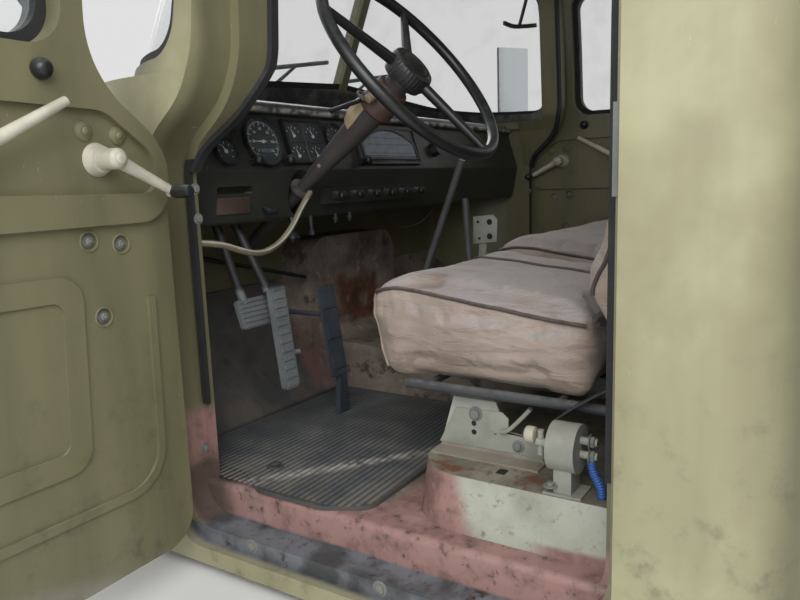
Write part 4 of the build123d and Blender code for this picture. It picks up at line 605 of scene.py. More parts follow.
def screen_coat(name):
    """The windscreen's frame: olive, with a dark dusty shelf below the glass."""
    f = olive_coat(name)
    under = f.shader.inputs["Base Color"].links[0].from_socket
    x, y, z = f.axes()
    shelf = (z + 0.01 * f.cloud(20, 4)).ramp(0.985, 0.972) * y.ramp(-0.62, -0.6) * x.size().ramp(0.82, 0.78)
    dirt = f.mottle(ink(46, 46, 48), ink(92, 92, 90), (25, 4), (0.4, 0.7))
    f.feed("Base Color", f.blend(shelf, under, dirt))
    return f


finishes = {
    "olive": olive_coat("cab_paint"),
    "driver_door": olive_coat("driver_door_paint", 1),
    "passenger_door": olive_coat("passenger_door_paint", -1),
    "frame": frame_coat("side_frame_paint"),
    "floor": floor_coat("floor_paint"),
    "dash": dash_coat("dash_paint"),
    "steel": steel_coat("worn_black_steel"),
    "seat_frame": seat_frame_coat("seat_frame_paint"),
    "pedal": pedal_coat("worn_pedal_metal"),
    "gas_pedal": steel_coat(
        "accelerator_rubber", ink(62, 68, 76), ink(104, 110, 116), 0.6, ink(92, 98, 104), 0.5
    ),
    "tape": steel_coat("tan_wrap", ink(176, 156, 128), ink(110, 88, 66), 0.8, ink(196, 182, 158), 0.6),
    "lever": steel_coat("lever_steel", ink(78, 80, 80), ink(150, 152, 150), 0.7, ink(150, 152, 152), 0.6),
    # the column's pale top colour, laid on where it looks up, is a painted highlight along its top
    "column": steel_coat(
        "column_steel", ink(66, 62, 60), ink(140, 134, 126), 0.8, ink(156, 152, 148), 0.75
    ),
    "bare": steel_coat(
        "grey_green_steel", ink(150, 152, 142), ink(96, 88, 78), 0.5, ink(168, 160, 146), 0.5
    ),
    "bolt": steel_coat("zinc_bolts", ink(120, 122, 118), ink(84, 70, 58), 0.6, DUST, 0.3),
    "rusty": steel_coat("rusty_steel", ink(88, 72, 64), ink(60, 48, 42), 0.7, ink(110, 92, 80), 0.5),
    "screen_frame": screen_coat("windscreen_frame_paint"),
    "mirror_right": mirror_coat("right_mirror_finish", (0.559, 0.829)),
    "mirror_left": mirror_coat("left_mirror_finish", (-0.301, 0.954)),
    "rubber": rubber_coat("old_rubber"),
    "mat": mat_coat("ribbed_mat_rubber"),
    "black": plastic_coat("black_plastic", ink(30, 31, 33), 0.22),
    "hub": plastic_coat("hub_plastic", ink(44, 44, 45), 0.3, ink(128, 124, 116), 0.6),
    "housing": plastic_coat("switch_housing_plastic", ink(78, 58, 50), 0.4, ink(160, 148, 140), 0.6),
    "tan": plastic_coat("ribbed_grip_plastic", ink(150, 132, 108), 0.45, ink(170, 156, 138), 0.4),
    "cream": plastic_coat("aged_cream_plastic", ink(196, 192, 176), 0.3, ink(140, 128, 108), 0.35),
    "blue": plastic_coat("blue_insulation", ink(52, 96, 170), 0.35, ink(120, 130, 146), 0.3),
    "strand": plastic_coat("pale_wire", ink(186, 184, 172), 0.4, ink(170, 168, 158), 0.4),
    "loom": plastic_coat("loom_sheath", ink(124, 116, 92), 0.55, ink(150, 144, 128), 0.4),
    "seat": seat_coat("seat_leather"),
    "piping": plastic_coat("seat_piping", ink(74, 64, 60), 0.4, ink(140, 130, 124), 0.5),
    "pale_piping": plastic_coat("pale_piping", ink(150, 134, 122), 0.4, ink(160, 150, 142), 0.4),
    "glass": glass_pane("window_glass", ink(214, 224, 226), 0.10),
    "dial_glass": glass_pane("dial_glass", ink(190, 206, 216), 0.03),
    "window_blue": plain_coat("arched_window", ink(104, 122, 138), 0.12),
    "dial": plain_coat("dial_black", ink(26, 27, 29), 0.4),
    "marks": plain_coat("dial_white", ink(214, 216, 208), 0.5),
}

SLOT_FINISH = {
    "olive_paint": "olive", "glass": "glass", "rubber": "rubber", "primer_floor": "floor",
    "black_steel": "steel", "dash_paint": "dash", "black_plastic": "black",
    "cream_plastic": "cream", "blue_plastic": "blue", "seat_cover": "seat",
}
NODE_FINISH = {
    "driver_door_shell": "driver_door", "passenger_door_shell": "passenger_door",
    "side_frame_left": "frame", "side_frame_right": "frame", "floor_mat": "mat",
    "driver_seat_frame": "seat_frame", "clutch_pedal": "pedal", "brake_pedal": "pedal",
    "accelerator": "gas_pedal", "battery_switch": "bare", "gear_lever": "lever",
    "windscreen_frame": "screen_frame", "mirror_left": "mirror_left",
    "mirror_right": "mirror_right", "transfer_lever": "lever", "instruments": "black",
}
slots = {part["node"]: part["material_slot"] for part in frame["record"]["subparts"]}
for node, obj in frame["nodes"].items():
    obj.data.materials.clear()
    obj.data.materials.append(finishes[NODE_FINISH.get(node, SLOT_FINISH[slots[node]])].material)
for cord, finish, slot in (
    (battery_lead, "blue", "blue_plastic"),
    (wiring_loom, "loom", "rubber"),
    (thin_wire, "black", "rubber"),
):
    cord.data.materials.append(finishes[finish].material)
lead_sleeve.data.materials.append(finishes["blue"].material)
thin_strand.data.materials.append(finishes["strand"].material)

# ---------------------------------------------------------------- surfaces


def unit(vector):
    vector = np.asarray(vector, float)
    return vector / np.linalg.norm(vector, axis=-1, keepdims=True)


def sheet_of(grid, wrap_rows=False):
    """Faces over a grid whose rows are closed rings: four neighbours make one.

    The rows close on each other too with wrap_rows, and otherwise each end closes on its row's centre.
    """
    rows, cols = grid.shape[:2]
    index = np.arange(rows * cols).reshape(rows, cols)
    near = index if wrap_rows else index[:-1]
    far = np.roll(index, -1, 0) if wrap_rows else index[1:]
    quads = np.stack([near, np.roll(near, -1, 1), np.roll(far, -1, 1), far], -1).reshape(-1, 4)
    points, faces = grid.reshape(-1, 3), quads.tolist()
    if not wrap_rows:
        for row, flip in ((0, True), (rows - 1, False)):
            ring = index[row]
            hub = np.full(cols, len(points))
            fan = np.stack([ring, np.roll(ring, -1), hub], -1)
            faces += (fan[:, ::-1] if flip else fan).tolist()
            points = np.vstack([points, grid[row].mean(0)])
    return points, faces


def square_to(direction):
    """Two directions square to a direction and to each other."""
    direction = unit(direction)
    helper = np.array((0.0, 0.0, 1.0)) if abs(direction[2]) < 0.9 else np.array((0.0, 1.0, 0.0))
    side = unit(np.cross(direction, helper))
    return side, np.cross(side, direction)


def turned_form(profile, start, direction, sides=20, start_angle=0.0):
    """A profile of (distance, radius) turned about an axis: start + distance*axis + radius*(cos, sin)."""
    profile = np.array(profile, float)
    direction = unit(direction)
    side, up = square_to(direction)
    angle = start_angle + 2 * math.pi * np.arange(sides) / sides
    ring = np.cos(angle)[:, None] * side + np.sin(angle)[:, None] * up
    grid = np.asarray(start) + profile[:, 0, None, None] * direction + profile[:, 1, None, None] * ring
    return sheet_of(grid)


def carried(path, outline, reference, wrap=False):
    """An outline carried along a path: place + a*side + b*rise.

    side = travel x reference and rise = side x travel.
    """
    path, outline = np.array(path, float), np.array(outline, float)
    travel = np.roll(path, -1, 0) - np.roll(path, 1, 0) if wrap else np.gradient(path, axis=0)
    travel = unit(travel)
    side = unit(np.cross(travel, np.asarray(reference, float)))
    rise = np.cross(side, travel)
    a, b = outline[:, 0, None], outline[:, 1, None]
    grid = path[:, None] + a * side[:, None] + b * rise[:, None]
    return sheet_of(grid, wrap_rows=wrap)


def round_outline(radius, sides=10):
    """Points of a circle: radius * (cos, sin)."""
    angle = 2 * math.pi * np.arange(sides) / sides
    return radius * np.stack([np.cos(angle), np.sin(angle)], -1)


def box_outline(width, height):
    """A rectangle with cut corners, centred, going round once."""
    w, h = width / 2, height / 2
    c = min(w, h) * 0.35
    half = [(w - c, -h), (w, -h + c), (w, h - c), (w - c, h)]
    return np.array(half + [(-a, -b) for a, b in half])


def smooth_path(points, steps=8):
    """A path through points: each span is the cubic whose ends lean as their neighbours do."""
    p = np.array(points, float)
    ends = np.vstack([2 * p[0] - p[1], p, 2 * p[-1] - p[-2]])
    t = (np.arange(steps) / steps)[None, :, None]
    b, s, e, a = (q[:, None] for q in (ends[:-3], ends[1:-2], ends[2:-1], ends[3:]))
    spans = 2 * s + (e - b) * t + (2 * b - 5 * s + 4 * e - a) * t**2 + (3 * s - 3 * e + a - b) * t**3
    return np.vstack([0.5 * spans.reshape(-1, 3), p[-1]])


def joined(forms):
    """Several forms as one: their points one after another, their faces moved up to match."""
    points, faces, count = [], [], 0
    for form_points, form_faces in forms:
        points.append(form_points)
        faces += [[i + count for i in face] for face in form_faces]
        count += len(form_points)
    return np.vstack(points), faces


def rod_form(a, b, radius, end_radius=None, sides=16, rounding=0.25):
    """A round bar from a to b with rounded ends: a profile turned about its own line."""
    a, b = np.array(a, float), np.array(b, float)
    end_radius = radius if end_radius is None else end_radius
    length = np.linalg.norm(b - a)
    r0, r1 = rounding * radius, rounding * end_radius
    profile = [
        (0, radius - r0), (0.3 * r0, radius - 0.3 * r0), (r0, radius), (length - r1, end_radius),
        (length - 0.3 * r1, end_radius - 0.3 * r1), (length, end_radius - r1),
    ]
    return turned_form(profile, a, b - a, sides)


def slab_form(outline, thickness, place, corner=0.8):
    """A flat slab: an outline of 3-D points, a thickness along place, edges that step in by corner."""
    outline = np.array(outline, float)
    place = unit(place)
    centre = outline.mean(0)
    inward = unit(centre - outline) * corner
    low, high = outline, outline + place * thickness
    grid = np.stack([low + inward, low + place * corner * 0.6, high - place * corner * 0.6, high + inward])
    return sheet_of(grid)


def bolt_form(place, axis, radius, height, washer=0.0, turn=0.3):
    """A hexagon head with a chamfered top on a round washer."""
    forms = []
    place, axis = np.array(place, float), unit(axis)
    if washer:
        forms.append(turned_form([(0, washer), (1.2, washer), (1.6, washer - 0.5)], place, axis, 20))
        place = place + axis * 1.6
    head = [(0, radius), (0.8 * height, radius), (height, 0.82 * radius)]
    forms.append(turned_form(head, place, axis, 6, turn))
    return joined(forms)


def screw_form(place, axis, radius, height):
    """A domed screw head: radius falls as the cosine while the height grows as the sine."""
    angle = np.linspace(0, 0.46 * math.pi, 5)
    profile = np.stack([height * np.sin(angle), radius * np.cos(angle)], -1)
    return turned_form(profile, place, axis, 16)


def piece(name, form, finish, body="cab", slot="black_steel", turn=None):
    """An object of a form in millimetres, its normals outward, on its body; slot is not used."""
    points, faces = form
    points = np.asarray(points, float)
    if turn is not None:
        points = turn(points)
    mesh = bpy.data.meshes.new(name)
    mesh.from_pydata((points * MM).tolist(), [], faces)
    outward(mesh, SAME_POINT)
    mesh.polygons.foreach_set("use_smooth", [True] * len(mesh.polygons))
    mesh.set_sharp_from_angle(angle=SHARP_EDGE)
    mesh.materials.append(finishes[finish].material)
    obj = show(name, mesh)
    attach(obj, body)
    return obj


def driver_open(points):
    """Points of the closed driver's door, turned open about its hinge pin."""
    angle = -math.radians(OPEN_DEG)
    x, y = points[:, 0] - HINGE_X, points[:, 1] - HINGE_Y
    turned_x = x * math.cos(angle) - y * math.sin(angle)
    turned_y = x * math.sin(angle) + y * math.cos(angle)
    return np.stack([turned_x + HINGE_X, turned_y + HINGE_Y, points[:, 2]], -1)


def mirrored(points):
    """The same points on the passenger's side."""
    return points * np.array((-1.0, 1.0, 1.0))


DOORS = (("driver", "driver_door", driver_open), ("passenger", "passenger_door", mirrored))

# ---------------------------------------------------------------- doors


def on_panel(y, z, height):
    """A point over the closed driver's door's inner panel."""
    return np.array((PANEL_X - height, y, z))


INTO_CAB = np.array((-1.0, 0.0, 0.0))
DOOR_SCREWS = ((-197.0, 806.0), (-257.0, 801.0))
DIMPLES = ((-187.0, 641.0), (-245.0, 632.0), (-200.0, 521.0))
HATCH_SCREWS = (
    (-99.0, 579.0), (130.0, 585.0), (352.0, 590.0), (-80.0, 309.0), (130.0, 312.0), (352.0, 315.0),
)
CRANK = (-216.0, 764.0)
CRANK_END = (-318.0, 712.0)
LOCK = (-128.0, 888.0)

for who, body, turn in DOORS:
    screws, nuts, rims = [], [], []
    for y, z in DOOR_SCREWS:
        boss = [(0, 15), (2.5, 14), (5, 9), (6, 8.5)]
        screws.append(turned_form(boss, on_panel(y, z, -BAND_DEPTH), INTO_CAB, 24))
        screws.append(screw_form(on_panel(y, z, -BAND_DEPTH + 5.5), INTO_CAB, 6.5, 3.5))
    for y, z in DIMPLES:
        nuts.append(bolt_form(on_panel(y, z, -BAND_DEPTH - 4.8), INTO_CAB, 6.5, 5.0, 9.5))
        stud = on_panel(y, z, -BAND_DEPTH - 3), on_panel(y, z, -BAND_DEPTH + 5.5)
        nuts.append(rod_form(*stud, 2.6))
        around = 15.0 * round_outline(1.0, 28)
        ring = on_panel(y, z, -BAND_DEPTH) + np.column_stack([np.zeros(28), around])
        rims.append(carried(ring, round_outline(2.0, 8), (1, 0, 0), wrap=True))
    piece(who + "_door_screw_bosses", joined(screws), who + "_door", body, "olive_paint", turn=turn)
    piece(who + "_door_nuts", joined(nuts), "bolt", body, "black_steel", turn=turn)
    piece(who + "_door_dimple_rims", joined(rims), who + "_door", body, "olive_paint", turn=turn)
    hatch = [screw_form(on_panel(y, z, -BAND_DEPTH), INTO_CAB, 6.0, 3.0) for y, z in HATCH_SCREWS]
    piece(who + "_door_hatch_screws", joined(hatch), "bolt", body, "black_steel", turn=turn)
    knob = turned_form(
        [(0, 8.5), (1, 10.5), (4, 11.6), (14, 11.8), (26, 11), (34, 10.2), (38, 8.5), (40, 5)],
        on_panel(*CRANK_END, 37.0), INTO_CAB, 28,
    )
    piece(who + "_door_crank_knob", knob, "black", body, "black_plastic", turn=turn)
    lock_profile = [(0, 14), (2, 15), (6, 15), (12, 13.8), (17, 11), (20, 7), (21, 3)]
    lock = turned_form(lock_profile, on_panel(*LOCK, 0.6), INTO_CAB, 28)
    piece(who + "_door_lock_knob", lock, "black", body, "black_plastic", turn=turn)
    cap_profile = [(0, 9), (2, 9.4), (3.5, 8), (4.5, 5)]
    crank_cap = turned_form(cap_profile, on_panel(*CRANK, 43.5), INTO_CAB, 24)
    piece(who + "_door_crank_cap", crank_cap, "cream", body, "cream_plastic", turn=turn)

# ---------------------------------------------------------------- dash

DASH_ORIGIN = np.array((0.0, -390.0, 808.0))
FACE_RISE = unit((0.0, -36.0, 120.0))
FACE_OUT = unit((0.0, 120.0, 36.0))
DIAL_OUT = 5.6
GLASS_OUT = 10.8


def dash_point(x, height, out):
    """Points of the dash: x across, height up its leaning face, out square to it, arrays or numbers."""
    x, height, out = (v.astype(float) for v in np.broadcast_arrays(x, height, out))
    across = np.stack([x, np.zeros_like(x), np.zeros_like(x)], -1)
    return DASH_ORIGIN + across + height[..., None] * FACE_RISE + out[..., None] * FACE_OUT


def dial_marks(x, h, inner, outer, start, sweep, count, width):
    """Marks around a dial: flat bars from the inner to the outer radius, over a sweep of degrees."""
    angles = math.radians(start) - math.radians(sweep) * np.arange(count) / (count - 1)
    out = np.stack([np.cos(angles), np.sin(angles)], -1)
    over = np.stack([-out[:, 1], out[:, 0]], -1) * width / 2
    corners = np.stack([out * inner - over, out * inner + over, out * outer + over, out * outer - over], 1)
    low = dash_point(x - corners[..., 0], h + corners[..., 1], DIAL_OUT)
    high = dash_point(x - corners[..., 0], h + corners[..., 1], DIAL_OUT + 0.4)
    return joined([sheet_of(np.stack([a, b])) for a, b in zip(low, high)])


def needle(x, h, angle, length, tail):
    """A dial's needle: a long thin diamond over its hub, at an angle in degrees."""
    angle = math.radians(angle)
    out = np.array((math.cos(angle), math.sin(angle)))
    over = np.array((-out[1], out[0]))
    corners = np.array([
        -out * tail - over, -out * tail + over, out * 0.2 * length + 1.6 * over, out * length,
        out * 0.2 * length - 1.6 * over,
    ])
    low = dash_point(x - corners[:, 0], h + corners[:, 1], DIAL_OUT + 1.2)
    high = dash_point(x - corners[:, 0], h + corners[:, 1], DIAL_OUT + 1.9)
    hub = turned_form([(0, 4), (3, 3.6), (4, 2)], dash_point(x, h, DIAL_OUT), FACE_OUT, 16)
    return joined([sheet_of(np.stack([low, high])), hub])


def numerals(name, words, size):
    """Plain numbers as flat meshes on the dash: (text, x, height) each, their place applied to the mesh."""
    forms = []
    for text, x, h in words:
        curve = bpy.data.curves.new(name, "FONT")
        curve.body, curve.size, curve.align_x, curve.align_y = text, size, "CENTER", "CENTER"
        curve.extrude = 0.15
        curve.resolution_u = 2
        holder = bpy.data.objects.new(name, curve)
        flat = bpy.data.meshes.new_from_object(holder)
        local = np.array([v.co for v in flat.vertices])
        points = dash_point(x - local[:, 0], h + local[:, 1], DIAL_OUT + 0.3 + local[:, 2])
        forms.append((points, [list(p.vertices) for p in flat.polygons]))
        bpy.data.objects.remove(holder)
        bpy.data.curves.remove(curve)
        bpy.data.meshes.remove(flat)
    return joined(forms)


SPEED, RIGHT_DIAL, LEFT_DIAL, SQUARE = (560.0, 0.0), (300.0, 12.0), (679.0, -24.0), (418.0, 2.0)
ON_DASH = {"body": "cab", "slot": "dash_paint"}
ROUND_DIALS = ((*LEFT_DIAL, 26.0), (*SPEED, 52.0), (*RIGHT_DIAL, 36.0))
faces_of_dials = [
    turned_form([(0, r - 0.6), (0.25, r - 0.6)], dash_point(x, h, DIAL_OUT - 0.28), FACE_OUT, 48)
    for x, h, r in ROUND_DIALS
]
piece("dial_faces", joined(faces_of_dials), "dial", **ON_DASH)
marks = [
    dial_marks(*SPEED, 37.0, 46.0, 225, 270, 13, 1.7),
    dial_marks(*SPEED, 42.0, 46.0, 225, 270, 61, 0.7),
    dial_marks(*RIGHT_DIAL, 24.0, 30.0, 215, 250, 9, 1.4),
    dial_marks(*LEFT_DIAL, 16.0, 21.0, 215, 250, 7, 1.2),
    needle(*SPEED, 180, 38.0, 10.0),
    needle(*RIGHT_DIAL, 200, 24.0, 7.0),
    needle(*LEFT_DIAL, 120, 17.0, 5.0),
]
square_centres = [(SQUARE[0] + dx, SQUARE[1] + dh) for dx in (34.0, -34.0) for dh in (24.0, -24.0)]
for cx, ch in square_centres:
    marks.append(dial_marks(cx, ch - 10.0, 20.0, 24.5, 150, 120, 5, 1.3))
    marks.append(needle(cx, ch - 10.0, 112, 19.0, 3.0))
piece("dial_marks", joined(marks), "marks", **ON_DASH)
speeds = [
    (str(20 * k), SPEED[0] - 29.0 * math.cos(a), 29.0 * math.sin(a))
    for k, a in enumerate(np.radians(225 - 270 * np.arange(7) / 6))
]
piece("dial_numbers", numerals("dial_numbers", speeds, 9.0), "marks", **ON_DASH)


def dash_plate(x, h, half_width, half_height, low, high):
    """A flat plate on the dash about a centre, from one height over the face to another."""
    wide, tall = half_width * np.array((-1, 1, 1, -1)), half_height * np.array((-1, -1, 1, 1))
    flat = dash_point(x - wide, h + tall, 0)[None]
    return sheet_of(flat + np.array((low, high))[:, None, None] * FACE_OUT)


counter = dash_plate(SPEED[0], -20.0, 13, 4, DIAL_OUT + 0.1, DIAL_OUT + 0.9)
piece("distance_counter", counter, "window_blue", **ON_DASH)
square_panes = [dash_plate(cx, ch, 30, 20, DIAL_OUT - 0.4, DIAL_OUT) for cx, ch in square_centres]
piece("square_dial_faces", joined(square_panes), "dial", **ON_DASH)
cross = [
    carried(dash_point(x, h, DIAL_OUT + 1.5), box_outline(3.0, 3.0), FACE_OUT)
    for x, h in ((SQUARE[0], np.linspace(-46, 50, 5)), (np.linspace(352, 484, 5), SQUARE[1]))
]
piece("square_dial_bars", joined(cross), "black", **ON_DASH)
panes = [
    turned_form([(0, r - 0.4), (0.8, r - 0.4)], dash_point(x, h, GLASS_OUT), FACE_OUT, 48)
    for x, h, r in ROUND_DIALS
]
panes.append(dash_plate(*SQUARE, 66, 49, GLASS_OUT, GLASS_OUT + 0.8))
piece("dial_glasses", joined(panes), "dial_glass", **ON_DASH)

RING_OUT = 12.2
# the dials' rings and the arched window with its frame
rings = []
for x, h, r in ROUND_DIALS:
    around = round_outline(r + 2.4, 48)
    ring = dash_point(x + around[:, 0], h + around[:, 1], RING_OUT)
    rings.append(carried(ring, round_outline(1.7, 8), FACE_OUT, wrap=True))
piece("gauge_rings", joined(rings), "black", **ON_DASH)


def arched_outline(x0, x1, h0, h1, rise, steps=9):
    """An upright-sided window with an arched top: rise * (1 - s*s) over it, s from -1 to 1."""
    s = np.linspace(-1, 1, steps)
    top = np.stack([x0 + (x1 - x0) * (s + 1) / 2, h1 + rise * (1 - s * s)], -1)[::-1]
    bottom = np.stack([np.linspace(x0, x1, steps), np.full(steps, h0)], -1)
    return np.vstack([bottom, top])


backing = np.stack([
    dash_point(x, h, DIAL_OUT - 0.2)
    for x, h in ((-78.5, -50.5), (218.5, -50.5), (218.5, 50.5), (-78.5, 50.5))
])
piece("arched_window_backing", slab_form(backing, 5.4, FACE_OUT, 0.5), "dash", **ON_DASH)
arch = arched_outline(-62.0, 200.0, -38.0, 4.0, 42.0, 17)
pane = np.stack([dash_point(arch[:, 0], arch[:, 1], 10.9), dash_point(arch[:, 0], arch[:, 1], 11.6)])
piece("arched_window_pane", sheet_of(pane), "window_blue", **ON_DASH)
piece(
    "arched_window_frame",
    carried(dash_point(arch[:, 0], arch[:, 1], 12.4), box_outline(7.0, 4.0), FACE_OUT, wrap=True),
    "black", **ON_DASH,
)
inner = arched_outline(-56.0, 194.0, -30.0, 4.0, 37.0, 17)
piece(
    "arched_window_bead",
    carried(dash_point(inner[:, 0], inner[:, 1], 12.3), round_outline(0.9, 6), FACE_OUT, wrap=True),
    "bolt", **ON_DASH,
)
tapes = [
    carried(dash_point(np.linspace(x0, x1, 4), h, 12.0), box_outline(1.2, 0.7), FACE_OUT)
    for x0, x1, h in ((-44.0, 180.0, -22.0), (-36.0, 172.0, 2.0), (-10.0, 150.0, 20.0))
]
piece("arched_window_lines", joined(tapes), "bolt", **ON_DASH)

# ribs at the dash's left end, the bright strip over the gauges, the rusty cover and the T-handle below
ribs = [
    carried(dash_point(x, np.linspace(-30, 48, 5), 1.6), box_outline(3.2, 3.6), FACE_OUT)
    for x in (627.0, 632.5, 638.0, 643.5)
]
piece("dash_end_ribs", joined(ribs), "dash", **ON_DASH)
piece(
    "dash_trim_strip",
    carried(dash_point(np.linspace(-205, 660, 24), 66.0, 1.0), box_outline(5.0, 2.6), FACE_OUT),
    "bolt", **ON_DASH,
)
cover = [
    (x, -395.0 + (z - 636.0) * 23.0 / 112.0, z) for x, z in ((613, 660), (709, 660), (709, 694), (613, 694))
]
piece("dash_rusty_cover", slab_form(cover, 5.0, (0, 0.98, -0.2), 1.5), "rusty", **ON_DASH)
handle = [
    rod_form((569, -388, 666), (569, -366, 659), 5.0),
    rod_form((551, -364, 658), (587, -364, 658), 7.0, sides=18, rounding=0.6),
]
piece("hand_throttle_pull", joined(handle), "black", body="cab", slot="black_plastic")
ball = [(0, 3), (2, 7.5), (6, 10.5), (10, 11.2), (15, 10.2), (19, 7), (21, 3)]
knob_tops = [turned_form(ball, dash_point(x, -46.0, 12.0), FACE_OUT, 20) for x in (607.0, 506.0, 204.0)]
piece("dash_ball_knobs", joined(knob_tops), "black", body="cab", slot="black_plastic")
switch_knob = [(0, 5), (1, 9), (6, 11), (12, 10.5), (15, 8), (16.5, 4)]
switch_tops = [
    turned_form(switch_knob, (x, -352.0, 685.0), (0, 1, 0.06), 20)
    for x in np.linspace(-39.3, 337.3, 6)
]
piece("strip_switch_knobs", joined(switch_tops), "black", body="cab", slot="black_plastic")

# ---------------------------------------------------------------- steering wheel and column

RIM_RADIUS = 228.0
AXIS = np.array((0.0, math.sin(COLUMN_LEAN), math.cos(COLUMN_LEAN)))
AXIS_SIDE = np.array((1.0, 0.0, 0.0))
AXIS_UP = np.cross(AXIS, AXIS_SIDE)


def wheel_point(angle, radius, along=0.0):
    """Points about the steering axis: centre + radius*(cos, sin) + along*axis."""
    angle, radius, along = (v.astype(float) for v in np.broadcast_arrays(angle, radius, along))
    flat = np.cos(angle)[..., None] * AXIS_SIDE + np.sin(angle)[..., None] * AXIS_UP
    return WHEEL_CENTRE + radius[..., None] * flat + along[..., None] * AXIS


def wheel_rim():
    """The rim with finger grips: a tube that swells inside the ring, 11.2 + 1.1*inside*wave(48*around)."""
    around = 2 * math.pi * np.arange(768) / 768
    section = 2 * math.pi * np.arange(20) / 20
    inside = np.clip(-np.cos(section), 0, 1)
    bulge = 11.2 + 1.1 * inside[None] * np.cos(48 * around)[:, None]
    reach = RIM_RADIUS + bulge * np.cos(section)[None]
    grid = wheel_point(around[:, None], reach, bulge * np.sin(section)[None])
    return sheet_of(grid, wrap_rows=True)


cap_angle = np.linspace(0, 0.5 * math.pi, 9)[:-1]
dome = np.stack([-2.0 + 16.0 * np.sin(cap_angle), 38.0 * np.cos(cap_angle)], -1)
hub_rim = [(-30, 46.5), (-27, 48.5), (-12, 49.5), (-2, 49), (4, 46.5), (6, 43), (5, 39), (1, 37.5)]


def fluted(profile, flutes, depth, sides):
    """A profile turned about the steering axis, its radius r + depth*wave(flutes*angle)."""
    profile = np.array(profile, float)
    angle = 2 * math.pi * np.arange(sides) / sides
    radius = profile[:, 1, None] + depth * np.cos(flutes * angle)[None]
    return sheet_of(wheel_point(angle[None], radius, profile[:, 0, None]))


piece("steering_wheel_grips", wheel_rim(), "black", "steering_wheel", "black_plastic")
piece("steering_wheel_hub_ring", fluted(hub_rim, 36, 0.35, 288), "hub", "steering_wheel", "black_plastic")
piece("steering_wheel_horn_button", fluted(dome, 1, 0.0, 48), "black", "steering_wheel", "black_plastic")

# the column's casing and what sits on it: switch housing, stalk, tan wrap and ribbed grip
JACKET = [
    (100, 33), (110, 33.5), (150, 30), (200, 27), (250, 24), (300, 20.5), (338, 18.5), (346, 18), (348, 16),
]
casing = [
    turned_form([(34, 24), (36, 26), (60, 27), (64, 26)], WHEEL_CENTRE, -AXIS, 40),
    turned_form(JACKET, WHEEL_CENTRE, -AXIS, 48),
    turned_form([(340, 14), (342, 15.5), (636, 15.5), (638, 14)], WHEEL_CENTRE, -AXIS, 32),
    turned_form([(386, 15), (388, 27), (394, 29), (400, 27), (402, 15)], WHEEL_CENTRE, -AXIS, 40),
]
column = piece("steering_column_casing", joined(casing), "column")
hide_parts("steering_column")
stalk_path = smooth_path([(484, -150, 891), (505, -166, 880), (535, -183, 869), (556, -196, 861)], 6)
stalk = [
    carried(stalk_path, round_outline(4.6, 12), (0, 0, 1)),
    rod_form((556, -196, 861), (561, -199, 859), 5.6, rounding=0.8),
]
piece("indicator_stalk", joined(stalk), "black", "cab", "black_plastic")


def side_wrap():
    """The rough tan wrap part of the way round the column: 29 + 11*window*taper with waves both ways."""
    t = np.linspace(0, 1, 30)
    angle = math.radians(-66) + np.linspace(-1.15, 1.15, 34)
    window = np.sin(math.pi * np.linspace(0, 1, 34)) ** 0.5
    taper = np.sin(math.pi * t) ** 0.35
    radius = 29.0 + 11.0 * window[None] * taper[:, None] + 1.4 * np.sin(11 * angle)[None] * taper[:, None]
    radius = radius + 1.2 * np.sin(19 * t)[:, None] * window[None]
    distance = 98.0 + 92.0 * t
    outer = wheel_point(angle[None], radius, -distance[:, None])
    inner = wheel_point(angle[None, ::-1], 24.0, -distance[:, None])
    return sheet_of(np.concatenate([outer, inner], 1))


piece("column_tan_wrap", side_wrap(), "tape", "cab", "black_plastic")
rivet_angle = math.radians(10)
rivet_out = wheel_point(rivet_angle, 1.0) - WHEEL_CENTRE
piece("column_rivet", screw_form(wheel_point(rivet_angle, 20.0, -306.0), rivet_out, 5.0, 3.5), "bolt")
housing_profile = [(0, 33), (2, 35.5), (6, 36.5), (40, 38.5), (58, 41), (62, 41), (66, 38), (68, 35.5)]
housing = turned_form(housing_profile, WHEEL_CENTRE - AXIS * 60.0, -AXIS, 48)
piece("column_switch_housing", housing, "housing", "cab", "black_plastic")
grip_start, grip_step = WHEEL_CENTRE - AXIS * 76.0 + np.array((38.0, 0, 0)), np.array((6.0, -2.0, -3.6))
grip = [
    turned_form([(0, 7), (1.5, 9), (4.5, 9), (6, 7)], grip_start + grip_step * k, grip_step, 20)
    for k in range(5)
]
piece("indicator_ribbed_grip", joined(grip), "tan", "cab", "black_plastic")
loop = wheel_point(2 * math.pi * np.arange(32) / 32, 12.0) - WHEEL_CENTRE + np.array((500.0, -158.0, 890.0))
piece("indicator_stalk_ring", carried(loop, round_outline(3.2, 10), AXIS, wrap=True), "lever")

# ---------------------------------------------------------------- floor


def mat_ribs():
    """Ribs across the mat: at each y a low rounded bar from the tunnel side to the sill, height 2 mm."""
    y = np.arange(-482.0, 12.0, 13.4)
    left = np.full_like(y, 200.0)
    right = np.interp(y, (-494, -330, -300, -60, -20, 5, 20), (806, 806, 814, 814, 800, 770, 730))
    t = np.linspace(0, 1, 9)
    section = np.array([(-4.4, -0.3), (-3.4, 1.2), (-1.4, 1.9), (1.4, 1.9), (3.4, 1.2), (4.4, -0.3)])
    x = left[:, None] + (right - left)[:, None] * t[None]
    fan = 0.035 * (x - 500.0)
    cy = y[:, None] + fan * (y[:, None] + 240.0) / 240.0
    bars = []
    for across, along in zip(x, cy):
        height = MAT_TOP + np.repeat(section[None, :, 1], len(t), 0)
        places = np.repeat(across[:, None], len(section), 1), along[:, None] + section[None, :, 0], height
        bars.append(sheet_of(np.stack(places, -1)))
    return joined(bars)


piece("floor_mat_ribs", mat_ribs(), "mat", "cab", "rubber")
piece("floor_mat_bolt", bolt_form((725, -255, 150.5), (0, 0, 1), 11.0, 7.0, 18.0), "steel")

